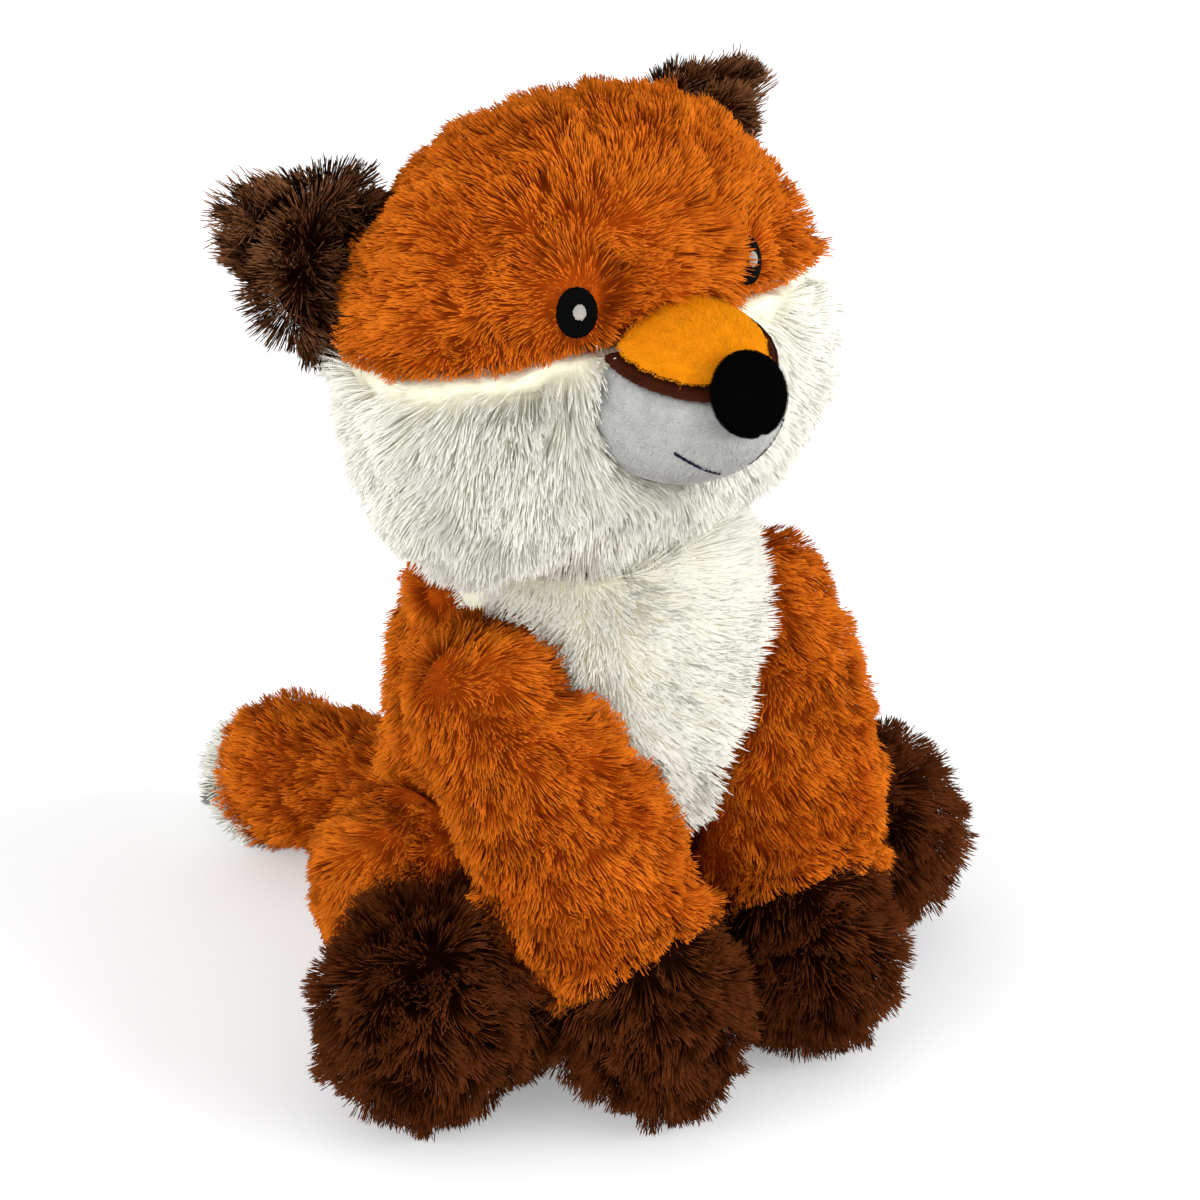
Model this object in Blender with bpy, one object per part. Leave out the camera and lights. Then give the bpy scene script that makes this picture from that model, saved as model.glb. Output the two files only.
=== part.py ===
"""A sitting plush fox, modelled as the stuffed pieces that it is sewn together from.

Metres, +Z up. The fox faces -Y and its own left side is +X. The origin is on the floor,
in the middle of the small flat that the body sits on. Each form is the outer surface of
its pile, with the stuffing as part of the solid.
"""

import math
from collections import namedtuple

import bmesh
import bpy
from mathutils import Matrix, Vector

# Fit between the pieces
SEAM_GAP = 0.0003
SWING_GAP = 0.0007
FLOOR_FLAT = 0.0005
OVERRUN = 0.02

# Body and the white bib on its chest
BODY_HALF_WIDTH = 0.050
BODY_FRONT = 0.057
BODY_BACK = 0.044
BODY_DOWN = 0.062
BODY_UP = 0.115
BIB_SIDE_MARGIN = 0.013
BIB_LENGTH = 0.075
BIB_THICKNESS = 0.005

# Neck, a ball of stuffing between the body and the head
NECK_RADIUS = 0.021
NECK_BELOW_BODY_TOP = 0.0315
NECK_FORWARD = 0.008
NECK_SLIT = 0.006

# Head
HEAD_ABOVE_NECK = 0.057
HEAD_FORWARD = 0.0135
HEAD_HALF_WIDTH = 0.071
HEAD_FRONT = 0.038
HEAD_BACK = 0.050
HEAD_UP = 0.065
HEAD_DOWN = 0.063
RUFF_EDGE_RISE = 0.007
RUFF_BACK = 0.036

# Muzzle, nose and eyes
MUZZLE_FORWARD = 0.0365
MUZZLE_DROP = 0.004
MUZZLE_HALF_WIDTH = 0.027
MUZZLE_DEPTH = 0.030
MUZZLE_UP = 0.026
MUZZLE_DOWN = 0.022
STRIPE_HEIGHT = 0.0023
STRIPE_PROUD = 0.0006
STRIPE_ABOVE_MUZZLE_CENTRE = 0.0155
NOSE_HALF_WIDTH = 0.0115
NOSE_DEPTH = 0.007
NOSE_HALF_HEIGHT = 0.0115
NOSE_PROUD = 0.001
NOSE_NOTCH_RADIUS = 0.0012
EYE_HALF_WIDTH = 0.0061
EYE_HALF_HEIGHT = 0.007
EYE_DEPTH = 0.0024
GLINT_HALF_WIDTH = 0.002
GLINT_HALF_HEIGHT = 0.0023
GLINT_DEPTH = 0.0009
GLINT_RAISED = 0.0004

# Ears and their linings
EAR_REACH = 0.026
EAR_OUTSET = 0.017
EAR_HALF_HEIGHT = 0.0235
EAR_HALF_THICKNESS = 0.0085
EAR_TIP_LIFT = 0.004
DISH_HALF_WIDTH = 0.019
DISH_HALF_HEIGHT = 0.019
DISH_DEPTH = 0.006
LINING_THICKNESS = 0.002

# Front legs and paws
SHOULDER_RADIUS = 0.023
SHOULDER_BELOW_NECK = 0.033
FRONT_LEG_MIDDLE_RADIUS = 0.0295
FRONT_LEG_MIDDLE_IN = 0.001
FRONT_LEG_BOW = 0.009
ANKLE_RADIUS = 0.026
ANKLE_HEIGHT = 0.036
FRONT_PAW_HALF_WIDTH = 0.027
FRONT_PAW_HALF_LENGTH = 0.032
FRONT_PAW_HALF_HEIGHT = 0.030
FRONT_PAW_REACH = 0.0475
PAW_SPACING = 0.0008

# Hind legs and paws
HIP_RADIUS = 0.024
HIP_HEIGHT = 0.043
THIGH_OUT = 0.014
THIGH_FORWARD = 0.011
THIGH_RISE = 0.003
THIGH_HALF_WIDTH = 0.028
THIGH_FRONT = 0.036
THIGH_BACK = 0.028
THIGH_UP = 0.031
THIGH_DOWN = 0.038
HIND_PAW_HALF_WIDTH = 0.032
HIND_PAW_HALF_LENGTH = 0.032
HIND_PAW_HALF_HEIGHT = 0.033
HIND_PAW_OUT = 0.035
HIND_PAW_REACH = 0.050

# Tail
TAIL_ROOT_RADIUS = 0.016
TAIL_ROOT_HEIGHT = 0.030
TAIL_MIDDLE_RADIUS = 0.023
TAIL_MIDDLE_BACK = 0.026
TAIL_MIDDLE_SIDE = 0.010
TAIL_END_RADIUS = 0.025
TAIL_END_BACK = 0.050
TAIL_END_SIDE = 0.029
TAIL_TIP_START = 0.013

# Shapes without a size: powers, angles in degrees, counts and shares
HEAD_POWER = 2.4
BODY_POWER = 2.0
SHOULDER_TURN = 56.5
HIP_TURN = 93.0
SHOULDER_OUT_SHARE = 1.25
HIP_OUT_SHARE = 0.88
EYE_TURN = 26.0
EYE_RISE = 23.0
NOSE_RISE = 22.0
MUZZLE_TILT = 8.0
STRIPE_TILT = 11.0
RUFF_EDGE_TILT = 7.5
EAR_SEAM_TOP = (144.0, 37.0)
EAR_SEAM_BOTTOM = (125.0, -3.0)
EAR_OUT_TURN = 100.0
EAR_OUT_RISE = 24.0
EAR_TAPER_SHARE = 0.42
TAIL_TIP_FACING = (193.0, -30.0)
EGG_SEGMENTS = 28
EGG_RINGS = 18
SMALL_SEGMENTS = 20
SMALL_RINGS = 12
LIMB_SIDES = 20
LIMB_STEPS = 8
CAP_STEPS = 4

# How far each part swings, in degrees from rest, as the cuts for it need
FRONT_LEG_SWING = (0.0, 50.0)
HIND_LEG_SWING = (0.0, 25.0)
TAIL_SWING = (-20.0, 20.0)
EAR_SWING = (-20.0, 20.0)
SWING_STEP = 25.0

# The bib's outline: its half width and height, as shares, from its point up
BIB_OUTLINE_SHARES = ((0.0, 0.0), (0.24, 0.07), (0.55, 0.22), (0.88, 0.48), (1.0, 0.72), (0.9, 1.0))

# Where the head and the chest swell or draw in:
# turn and rise in degrees, share of its size, spread in degrees
CHEEK_SWELL_SHARES = (72.0, -4.0, 0.03, 24.0)
SOCKET_SWELL_SHARES = (27.0, 22.0, -0.07, 15.0)
RUFF_SWELL_SHARES = (72.0, -40.0, 0.15, 32.0)
TEMPLE_SWELL_SHARES = (58.0, 36.0, -0.05, 24.0)
CROWN_SWELL_SHARES = (140.0, 40.0, 0.06, 32.0)
CHEST_SWELL_SHARES = (18.0, 24.0, 0.10, 30.0)

ORANGE = (0.500, 0.115, 0.012, 1.0)
WHITE = (0.830, 0.800, 0.715, 1.0)
BROWN = (0.070, 0.022, 0.007, 1.0)
GOLD = (0.830, 0.330, 0.020, 1.0)
GREY_WHITE = (0.620, 0.620, 0.630, 1.0)
STRIPE_BROWN = (0.090, 0.027, 0.010, 1.0)
BLACK = (0.004, 0.004, 0.005, 1.0)
PILE_ROUGHNESS = 0.95
NOSE_ROUGHNESS = 0.85

Egg = namedtuple("Egg", "centre side front back up down power swells")


def direction(turn, rise):
    """The unit vector at a turn from the front towards +X and a rise above level, in radians."""
    level = math.cos(rise)
    return Vector((math.sin(turn) * level, -math.cos(turn) * level, math.sin(rise)))


def across(place):
    """The place across the fox's middle from a place."""
    return Vector((-place.x, place.y, place.z))


def swelling(way, swells):
    """How much a form swells in a direction, on both of its sides alike."""
    size = 1.0
    for turn, rise, share, spread in swells:
        left = direction(math.radians(turn), math.radians(rise))
        nearest = min(way.angle(left), way.angle(across(left)))
        size += share * math.exp(-((nearest / math.radians(spread)) ** 2))
    return size


def egg_offset(egg, turn, rise):
    """The place on an egg, from its centre, in the direction of a turn and a rise."""
    way = direction(turn, rise)
    squarer = (abs(math.sin(turn)) ** egg.power + abs(math.cos(turn)) ** egg.power) ** (-1.0 / egg.power)
    size = swelling(way, egg.swells)
    return Vector((
        egg.side * way.x * squarer * size,
        (egg.front if way.y < 0.0 else egg.back) * way.y * squarer * size,
        (egg.up if way.z > 0.0 else egg.down) * way.z * size,
    ))


def egg_place(egg, turn_degrees, rise_degrees):
    return egg.centre + egg_offset(egg, math.radians(turn_degrees), math.radians(rise_degrees))


def egg_facing(egg, turn_degrees, rise_degrees):
    """The direction that an egg's surface faces at a place, from three places close together."""
    near = 2.0
    here = egg_place(egg, turn_degrees, rise_degrees)
    aside = egg_place(egg, turn_degrees + near, rise_degrees) - here
    above = egg_place(egg, turn_degrees, rise_degrees + near) - here
    return aside.cross(above).normalized()


def egg_mesh(egg, segments=EGG_SEGMENTS, rings=EGG_RINGS):
    """An egg's mesh: a unit sphere whose points move out to the egg's sizes."""
    mesh = bmesh.new()
    bmesh.ops.create_uvsphere(mesh, u_segments=segments, v_segments=rings, radius=1.0)
    for vertex in mesh.verts:
        way = vertex.co.normalized()
        turn = math.atan2(way.x, -way.y)
        vertex.co = egg.centre + egg_offset(egg, turn, math.asin(max(-1.0, min(1.0, way.z))))
    return mesh


def ball_mesh(centre, radius):
    mesh = bmesh.new()
    bmesh.ops.create_uvsphere(
        mesh,
        u_segments=SMALL_SEGMENTS,
        v_segments=SMALL_RINGS,
        radius=radius,
        matrix=Matrix.Translation(centre),
    )
    return mesh


def socket_radius(radius):
    """The radius of a faceted socket whose flats stay a seam's gap clear of the ball in it."""
    return (radius + SEAM_GAP) / (math.cos(math.pi / SMALL_SEGMENTS) * math.cos(math.pi / (2 * SMALL_RINGS)))


def through(values, share):
    """A smooth curve through a first, a middle and a last value."""
    first, middle, last = values
    return (
        first * (2.0 * (share - 0.5) * (share - 1.0))
        + middle * (4.0 * share * (1.0 - share))
        + last * (2.0 * share * (share - 0.5))
    )


def limb_mesh(centres, radii):
    """A stuffed limb: rings along a bent path, with a round end at each end, bridged together."""
    rings = []
    for step in range(LIMB_STEPS + 1):
        share = step / LIMB_STEPS
        near = 0.5 / LIMB_STEPS
        along = (through(centres, share + near) - through(centres, share - near)).normalized()
        rings.append((through(centres, share), along, through(radii, share)))
    for end, sign in ((rings[0], -1.0), (rings[-1], 1.0)):
        place, along, radius = end
        for cap in range(1, CAP_STEPS + 1):
            angle = 0.5 * math.pi * (cap - 0.15) / CAP_STEPS
            ring = (place + along * sign * radius * math.sin(angle), along, radius * math.cos(angle))
            rings.insert(0 if sign < 0.0 else len(rings), ring)
    mesh = bmesh.new()
    loops = []
    for number, (place, along, radius) in enumerate(rings):
        sideways = (Vector((1.0, 0.0, 0.0)) - along * along.x).normalized()
        turned = Matrix((sideways, along.cross(sideways), along)).transposed().to_4x4()
        made = bmesh.ops.create_circle(
            mesh,
            cap_ends=number in (0, len(rings) - 1),
            segments=LIMB_SIDES,
            radius=radius,
            matrix=Matrix.Translation(place) @ turned,
        )
        loops.append(made["verts"])
    for lower, upper in zip(loops, loops[1:]):
        members = set(lower) | set(upper)
        edges = [edge for edge in mesh.edges if set(edge.verts) <= members]
        rims = [edge for edge in edges if set(edge.verts) <= set(lower) or set(edge.verts) <= set(upper)]
        bmesh.ops.bridge_loops(mesh, edges=rims)
    bmesh.ops.recalc_face_normals(mesh, faces=mesh.faces)
    return mesh


def block_mesh(centre, half_sizes, turned=None):
    mesh = bmesh.new()
    sizes = [half + half for half in half_sizes]
    place = Matrix.Translation(centre) @ (turned or Matrix()) @ Matrix.Diagonal((*sizes, 1.0))
    bmesh.ops.create_cube(mesh, size=1.0, matrix=place)
    return mesh


def add(name, mesh, colour=None, roughness=PILE_ROUGHNESS):
    """Makes an object of a mesh. One with no colour is a cutting tool or a guide, left out of the model."""
    data = bpy.data.meshes.new(name)
    mesh.to_mesh(data)
    mesh.free()
    piece = bpy.data.objects.new(name, data)
    bpy.context.scene.collection.objects.link(piece)
    if colour is None:
        piece.hide_render = True
        piece.display_type = "WIRE"
        return piece
    finish = bpy.data.materials.new(name)
    finish.use_nodes = True
    shader = finish.node_tree.nodes["Principled BSDF"]
    shader.inputs["Base Color"].default_value = colour
    shader.inputs["Roughness"].default_value = roughness
    shader.inputs["Metallic"].default_value = 0.0
    data.materials.append(finish)
    return piece


def combine(piece, tool, operation):
    change = piece.modifiers.new(operation.title(), "BOOLEAN")
    change.operation = operation
    change.solver = "EXACT"
    change.object = tool


def settle(piece):
    """Turns what a piece's modifiers make into its own mesh, shaded smooth up to sharp edges."""
    graph = bpy.context.evaluated_depsgraph_get()
    made = bpy.data.meshes.new_from_object(piece.evaluated_get(graph))
    piece.modifiers.clear()
    piece.data = made
    made.shade_smooth()
    made.set_sharp_from_angle(angle=math.radians(40.0))


def add_right(piece):
    """Adds the right one of a pair, as the left one seen in a mirror."""
    name = piece.name.replace("_left", "_right")
    mesh = bmesh.new()
    mesh.from_mesh(piece.data)
    bmesh.ops.transform(mesh, matrix=Matrix.Diagonal((-1.0, 1.0, 1.0, 1.0)), verts=mesh.verts)
    bmesh.ops.reverse_faces(mesh, faces=mesh.faces)
    shader = piece.data.materials[0].node_tree.nodes["Principled BSDF"]
    colour = tuple(shader.inputs["Base Color"].default_value)
    return add(name, mesh, colour, shader.inputs["Roughness"].default_value)


def grown(tool, amount):
    """A copy of a form whose surface stands out by an amount, to cut a clearance with."""
    copy = bpy.data.objects.new(tool.name + "_clearance", tool.data)
    bpy.context.scene.collection.objects.link(copy)
    copy.hide_render = True
    copy.display_type = "WIRE"
    push = copy.modifiers.new("Clearance", "DISPLACE")
    push.strength = amount
    push.mid_level = 0.0
    return copy


def cut_swing(piece, carrier, pivot, axis, swing):
    """Cuts a piece clear of what carries it, over all the angles that it swings through."""
    combine(piece, grown(carrier, SEAM_GAP), "DIFFERENCE")
    low, high = swing
    steps = max(1, math.ceil((high - low) / SWING_STEP))
    for step in range(steps + 1):
        angle = low + (high - low) * step / steps
        if abs(angle) < 0.5 * SWING_STEP:
            continue
        tool = grown(carrier, SWING_GAP)
        turned = Matrix.Rotation(-math.radians(angle), 4, axis)
        tool.matrix_world = Matrix.Translation(pivot) @ turned @ Matrix.Translation(-pivot)
        combine(piece, tool, "DIFFERENCE")


def floor_block(centre, half_width):
    """A block under the floor, to cut a form's resting flat."""
    return add(
        "floor", block_mesh(Vector((centre.x, centre.y, -half_width)), (half_width, half_width, half_width))
    )


def body_egg():
    centre = Vector((0.0, 0.0, BODY_DOWN - FLOOR_FLAT))
    swells = (CHEST_SWELL_SHARES,)
    return Egg(
        centre, BODY_HALF_WIDTH, BODY_FRONT, BODY_BACK, BODY_UP, BODY_DOWN, BODY_POWER, swells
    )


def neck_place():
    return body_egg().centre + Vector((0.0, -NECK_FORWARD, BODY_UP - NECK_BELOW_BODY_TOP))


def head_egg():
    centre = neck_place() + Vector((0.0, -HEAD_FORWARD, HEAD_ABOVE_NECK))
    swells = (
        CHEEK_SWELL_SHARES, SOCKET_SWELL_SHARES, RUFF_SWELL_SHARES, TEMPLE_SWELL_SHARES, CROWN_SWELL_SHARES,
    )
    return Egg(centre, HEAD_HALF_WIDTH, HEAD_FRONT, HEAD_BACK, HEAD_UP, HEAD_DOWN, HEAD_POWER, swells)


def muzzle_egg(extra=0.0):
    centre = head_egg().centre + Vector((0.0, -MUZZLE_FORWARD, -MUZZLE_DROP))
    side = MUZZLE_HALF_WIDTH + extra
    depth = MUZZLE_DEPTH + extra
    return Egg(centre, side, depth, depth, MUZZLE_UP + extra, MUZZLE_DOWN + extra, BODY_POWER, ())


def on_body(turn_degrees, height, out_share):
    """A place at a height, a share of the way from the body's middle line out to its surface."""
    body = body_egg()
    rise = height - body.centre.z
    tall = BODY_UP if rise > 0.0 else BODY_DOWN
    level = math.sqrt(max(0.0, 1.0 - (rise / tall) ** 2)) * out_share
    turn = math.radians(turn_degrees)
    back = BODY_FRONT if math.cos(turn) > 0.0 else BODY_BACK
    return Vector((
        body.centre.x + BODY_HALF_WIDTH * math.sin(turn) * level,
        body.centre.y - back * math.cos(turn) * level,
        height,
    ))


def shoulder():
    return on_body(SHOULDER_TURN, neck_place().z - SHOULDER_BELOW_NECK, SHOULDER_OUT_SHARE)


def hip():
    return on_body(HIP_TURN, HIP_HEIGHT, HIP_OUT_SHARE)


def tail_root():
    return on_body(180.0, TAIL_ROOT_HEIGHT, 1.0)


def front_paw_egg():
    centre = Vector((
        FRONT_PAW_HALF_WIDTH + 0.5 * PAW_SPACING,
        shoulder().y - FRONT_PAW_REACH,
        FRONT_PAW_HALF_HEIGHT - FLOOR_FLAT,
    ))
    wide = FRONT_PAW_HALF_WIDTH
    length = FRONT_PAW_HALF_LENGTH
    tall = FRONT_PAW_HALF_HEIGHT
    return Egg(centre, wide, length, length, tall, tall, BODY_POWER, ())


def thigh_egg():
    centre = hip() + Vector((THIGH_OUT, -THIGH_FORWARD, THIGH_RISE))
    return Egg(centre, THIGH_HALF_WIDTH, THIGH_FRONT, THIGH_BACK, THIGH_UP, THIGH_DOWN, BODY_POWER, ())


def hind_paw_egg():
    root = hip()
    wide = HIND_PAW_HALF_WIDTH
    length = HIND_PAW_HALF_LENGTH
    tall = HIND_PAW_HALF_HEIGHT
    centre = Vector((root.x + HIND_PAW_OUT, root.y - HIND_PAW_REACH, tall - FLOOR_FLAT))
    return Egg(centre, wide, length, length, tall, tall, BODY_POWER, ())


def bib_prism(name, narrower):
    """A tall prism of the bib's outline, from the body's middle out past its front."""
    top = neck_place().z
    half_width = BODY_HALF_WIDTH - BIB_SIDE_MARGIN - narrower
    places = [
        (half_width * wide, top - BIB_LENGTH + narrower + narrower + BIB_LENGTH * tall)
        for wide, tall in BIB_OUTLINE_SHARES
    ]
    outline = places + [(-x, z) for x, z in reversed(places[1:])]
    mesh = bmesh.new()
    start = -(BODY_FRONT + OVERRUN)
    corners = [mesh.verts.new((x, start, z)) for x, z in outline]
    face = mesh.faces.new(corners)
    out = bmesh.ops.extrude_face_region(mesh, geom=[face])
    moved = [item for item in out["geom"] if isinstance(item, bmesh.types.BMVert)]
    bmesh.ops.translate(mesh, verts=moved, vec=(0.0, -start - narrower, 0.0))
    bmesh.ops.recalc_face_normals(mesh, faces=mesh.faces)
    return add(name, mesh)


def build_body():
    """The orange body, its white bib and the neck's ball of stuffing."""
    egg = body_egg()
    core = egg._replace(
        side=egg.side - BIB_THICKNESS,
        front=egg.front - BIB_THICKNESS,
        back=egg.back - BIB_THICKNESS,
        up=egg.up - BIB_THICKNESS,
        down=egg.down - BIB_THICKNESS,
    )
    form = add("body_form", egg_mesh(egg))
    core_form = add("body_core", egg_mesh(core))
    neck = neck_place()
    above = add(
        "body_top",
        block_mesh(
            neck + Vector((0.0, 0.0, BODY_HALF_WIDTH - 0.5 * NECK_SLIT)),
            (BODY_HALF_WIDTH + OVERRUN, BODY_HALF_WIDTH + OVERRUN, BODY_HALF_WIDTH),
        ),
    )
    torso = add("torso", egg_mesh(egg), ORANGE)
    combine(torso, floor_block(egg.centre, BODY_HALF_WIDTH), "DIFFERENCE")
    combine(torso, above, "DIFFERENCE")
    sockets = [(neck, NECK_RADIUS), (tail_root(), TAIL_ROOT_RADIUS)]
    for place, radius in ((shoulder(), SHOULDER_RADIUS), (hip(), HIP_RADIUS)):
        sockets += [(place, radius), (across(place), radius)]
    for place, radius in sockets:
        combine(torso, add("socket", ball_mesh(place, socket_radius(radius))), "DIFFERENCE")
    recess = bib_prism("bib_recess", 0.0)
    combine(recess, core_form, "DIFFERENCE")
    combine(torso, recess, "DIFFERENCE")
    settle(torso)
    bib = add("chest_bib", egg_mesh(egg), WHITE)
    combine(bib, bib_prism("bib_outline", SEAM_GAP), "INTERSECT")
    combine(bib, grown(core_form, SEAM_GAP), "DIFFERENCE")
    combine(bib, above, "DIFFERENCE")
    for place, radius in sockets:
        combine(bib, add("socket", ball_mesh(place, socket_radius(radius))), "DIFFERENCE")
    settle(bib)
    add("neck", ball_mesh(neck, NECK_RADIUS), ORANGE)
    return form


def ruff_block(name, smaller):
    """A block whose top and back faces part the ruff from the crown, drawn in by an amount."""
    reach = HEAD_HALF_WIDTH + OVERRUN
    tilt = Matrix.Rotation(-math.radians(RUFF_EDGE_TILT), 4, "X")
    frame = Matrix.Translation(head_egg().centre + Vector((0.0, 0.0, RUFF_EDGE_RISE))) @ tilt
    centre = frame @ Vector((0.0, 0.5 * (RUFF_BACK - reach) - smaller, -reach - smaller))
    return add(name, block_mesh(centre, (reach, 0.5 * (RUFF_BACK + reach), reach), tilt))


def build_head():
    """The orange crown and back of the head, and the white ruff under the cheeks and the chin."""
    egg = head_egg()
    form = add("head_form", egg_mesh(egg))
    neck = neck_place()
    reach = HEAD_HALF_WIDTH + OVERRUN
    below = neck - Vector((0.0, 0.0, reach - 0.5 * NECK_SLIT))
    bottom = add("head_bottom", block_mesh(below, (reach, reach, reach)))
    socket = add("socket", ball_mesh(neck, socket_radius(NECK_RADIUS)))
    crown = add("head_crown", egg_mesh(egg), ORANGE)
    combine(crown, ruff_block("ruff_space", -0.5 * SEAM_GAP), "DIFFERENCE")
    ruff = add("cheek_ruff", egg_mesh(egg), WHITE)
    combine(ruff, ruff_block("ruff_limit", 0.5 * SEAM_GAP), "INTERSECT")
    for piece in (crown, ruff):
        combine(piece, bottom, "DIFFERENCE")
        combine(piece, socket, "DIFFERENCE")
        settle(piece)
    return form


def build_muzzle(head_form):
    """The muzzle's golden top and pale bottom, and the brown stripe sewn between them."""
    egg = muzzle_egg()
    tilt = Matrix.Rotation(math.radians(STRIPE_TILT), 4, "X")
    reach = MUZZLE_DEPTH + OVERRUN
    edge = egg.centre + Vector((0.0, 0.0, STRIPE_ABOVE_MUZZLE_CENTRE))
    head_clear = grown(head_form, SEAM_GAP)
    half = 0.5 * STRIPE_HEIGHT
    for name, colour, sign in (("muzzle_top", GOLD, 1.0), ("muzzle_bottom", GREY_WHITE, -1.0)):
        piece = add(name, egg_mesh(egg), colour)
        off = tilt @ Vector((0.0, 0.0, sign * (half + SEAM_GAP - reach)))
        combine(piece, add("muzzle_cut", block_mesh(edge + off, (reach, reach, reach), tilt)), "DIFFERENCE")
        combine(piece, head_clear, "DIFFERENCE")
        settle(piece)
    stripe = add("lip_stripe", egg_mesh(muzzle_egg(STRIPE_PROUD)), STRIPE_BROWN)
    combine(stripe, add("stripe_slab", block_mesh(edge, (reach, reach, half), tilt)), "INTERSECT")
    combine(stripe, head_clear, "DIFFERENCE")
    settle(stripe)


def facing_frame(place, facing):
    """A frame at a place whose -Y looks along a direction, and whose +Z is as upright as it can be."""
    forward = -facing.normalized()
    aside = forward.cross(Vector((0.0, 0.0, 1.0))).normalized()
    upward = aside.cross(forward)
    return Matrix.Translation(place) @ Matrix((aside, forward, upward)).transposed().to_4x4()


def small_egg(frame, side, depth, tall):
    """A small egg in a frame of its own, such as an eye."""
    egg = Egg(Vector((0.0, 0.0, 0.0)), side, depth, depth, tall, tall, BODY_POWER, ())
    mesh = egg_mesh(egg, SMALL_SEGMENTS, SMALL_RINGS)
    bmesh.ops.transform(mesh, matrix=frame, verts=mesh.verts)
    return mesh


def build_face(head_form):
    """The nose on the muzzle's tip, and an eye with its glint on each side."""
    muzzle = muzzle_egg(STRIPE_PROUD)
    facing = egg_facing(muzzle, 0.0, NOSE_RISE)
    place = egg_place(muzzle, 0.0, NOSE_RISE) + facing * NOSE_PROUD
    frame = facing_frame(place, facing)
    form = small_egg(frame, NOSE_HALF_WIDTH, NOSE_DEPTH, NOSE_HALF_HEIGHT)
    nose = add("nose", form, BLACK, NOSE_ROUGHNESS)
    combine(nose, grown(add("muzzle_form", egg_mesh(muzzle)), SEAM_GAP), "DIFFERENCE")
    lowered = Matrix.Translation((0.0, 0.0, -NOSE_HALF_HEIGHT))
    notch = bmesh.new()
    bmesh.ops.create_cone(
        notch,
        cap_ends=True,
        segments=SMALL_RINGS,
        radius1=NOSE_NOTCH_RADIUS,
        radius2=NOSE_NOTCH_RADIUS,
        depth=NOSE_DEPTH + NOSE_DEPTH + OVERRUN,
        matrix=frame @ lowered @ Matrix.Rotation(0.5 * math.pi, 4, "X"),
    )
    combine(nose, add("nose_notch", notch), "DIFFERENCE")
    settle(nose)
    head = head_egg()
    facing = egg_facing(head, EYE_TURN, EYE_RISE)
    frame = facing_frame(egg_place(head, EYE_TURN, EYE_RISE), facing)
    sizes = (EYE_HALF_WIDTH, EYE_DEPTH, EYE_HALF_HEIGHT)
    eye = add("eye_left", small_egg(frame, *sizes), BLACK, NOSE_ROUGHNESS)
    combine(eye, grown(head_form, SEAM_GAP), "DIFFERENCE")
    settle(eye)
    add_right(eye)
    glint_frame = frame @ Matrix.Translation((0.0, -EYE_DEPTH, GLINT_RAISED))
    glint_form = small_egg(glint_frame, GLINT_HALF_WIDTH, GLINT_DEPTH, GLINT_HALF_HEIGHT)
    glint = add("eye_glint_left", glint_form, WHITE)
    combine(glint, grown(add("eye_form", small_egg(frame, *sizes)), SEAM_GAP), "DIFFERENCE")
    settle(glint)
    add_right(glint)


def ear_frame():
    """The left ear's frame: +Z up its seam, +X out from the head and +Y to the back."""
    head = head_egg()
    top = egg_place(head, *EAR_SEAM_TOP)
    bottom = egg_place(head, *EAR_SEAM_BOTTOM)
    along = (top - bottom).normalized()
    out = direction(math.radians(EAR_OUT_TURN), math.radians(EAR_OUT_RISE))
    out = (out - along * out.dot(along)).normalized()
    turned = Matrix((out, along.cross(out), along)).transposed().to_4x4()
    return Matrix.Translation(0.5 * (top + bottom)) @ turned


def ear_mesh(frame):
    """An ear: a flat egg that narrows away from its seam and whose tip lifts."""
    centre = Vector((EAR_OUTSET, 0.0, 0.0))
    thick = EAR_HALF_THICKNESS
    tall = EAR_HALF_HEIGHT
    egg = Egg(centre, EAR_REACH, thick, thick, tall, tall, BODY_POWER, ())
    mesh = egg_mesh(egg, EGG_SEGMENTS, SMALL_RINGS)
    for vertex in mesh.verts:
        out_share = (vertex.co.x - EAR_OUTSET) / EAR_REACH
        vertex.co.z = vertex.co.z * (1.0 - EAR_TAPER_SHARE * out_share) + EAR_TIP_LIFT * out_share
    bmesh.ops.transform(mesh, matrix=frame, verts=mesh.verts)
    return mesh


def build_ears(head_form):
    """Two ears that fold about their seams, each with a dished front and a lining in it."""
    frame = ear_frame()
    seam = frame.to_3x3() @ Vector((0.0, 0.0, 1.0))

    def dish(smaller, forward):
        place = frame @ Matrix.Translation((EAR_OUTSET, -EAR_HALF_THICKNESS - forward, 0.0))
        return small_egg(place, DISH_HALF_WIDTH - smaller, DISH_DEPTH - smaller, DISH_HALF_HEIGHT - smaller)

    reach = EAR_REACH + OVERRUN
    inside = frame @ Matrix.Translation((-reach, 0.0, 0.0))
    sizes = (reach, reach, reach + reach)
    inside_head = add("inside_head", block_mesh(inside.translation, sizes, frame.to_3x3().to_4x4()))
    ear = add("ear_left", ear_mesh(frame), BROWN)
    combine(ear, inside_head, "DIFFERENCE")
    cut_swing(ear, head_form, frame.translation, seam, EAR_SWING)
    combine(ear, add("dish", dish(0.0, 0.0)), "DIFFERENCE")
    settle(ear)
    add_right(ear)
    lining = add("ear_lining_left", dish(SEAM_GAP, 0.0), BROWN)
    combine(lining, add("ear_form", ear_mesh(frame)), "INTERSECT")
    combine(lining, add("lining_front", dish(0.0, LINING_THICKNESS)), "DIFFERENCE")
    cut_swing(lining, head_form, frame.translation, seam, EAR_SWING)
    settle(lining)
    add_right(lining)


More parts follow.
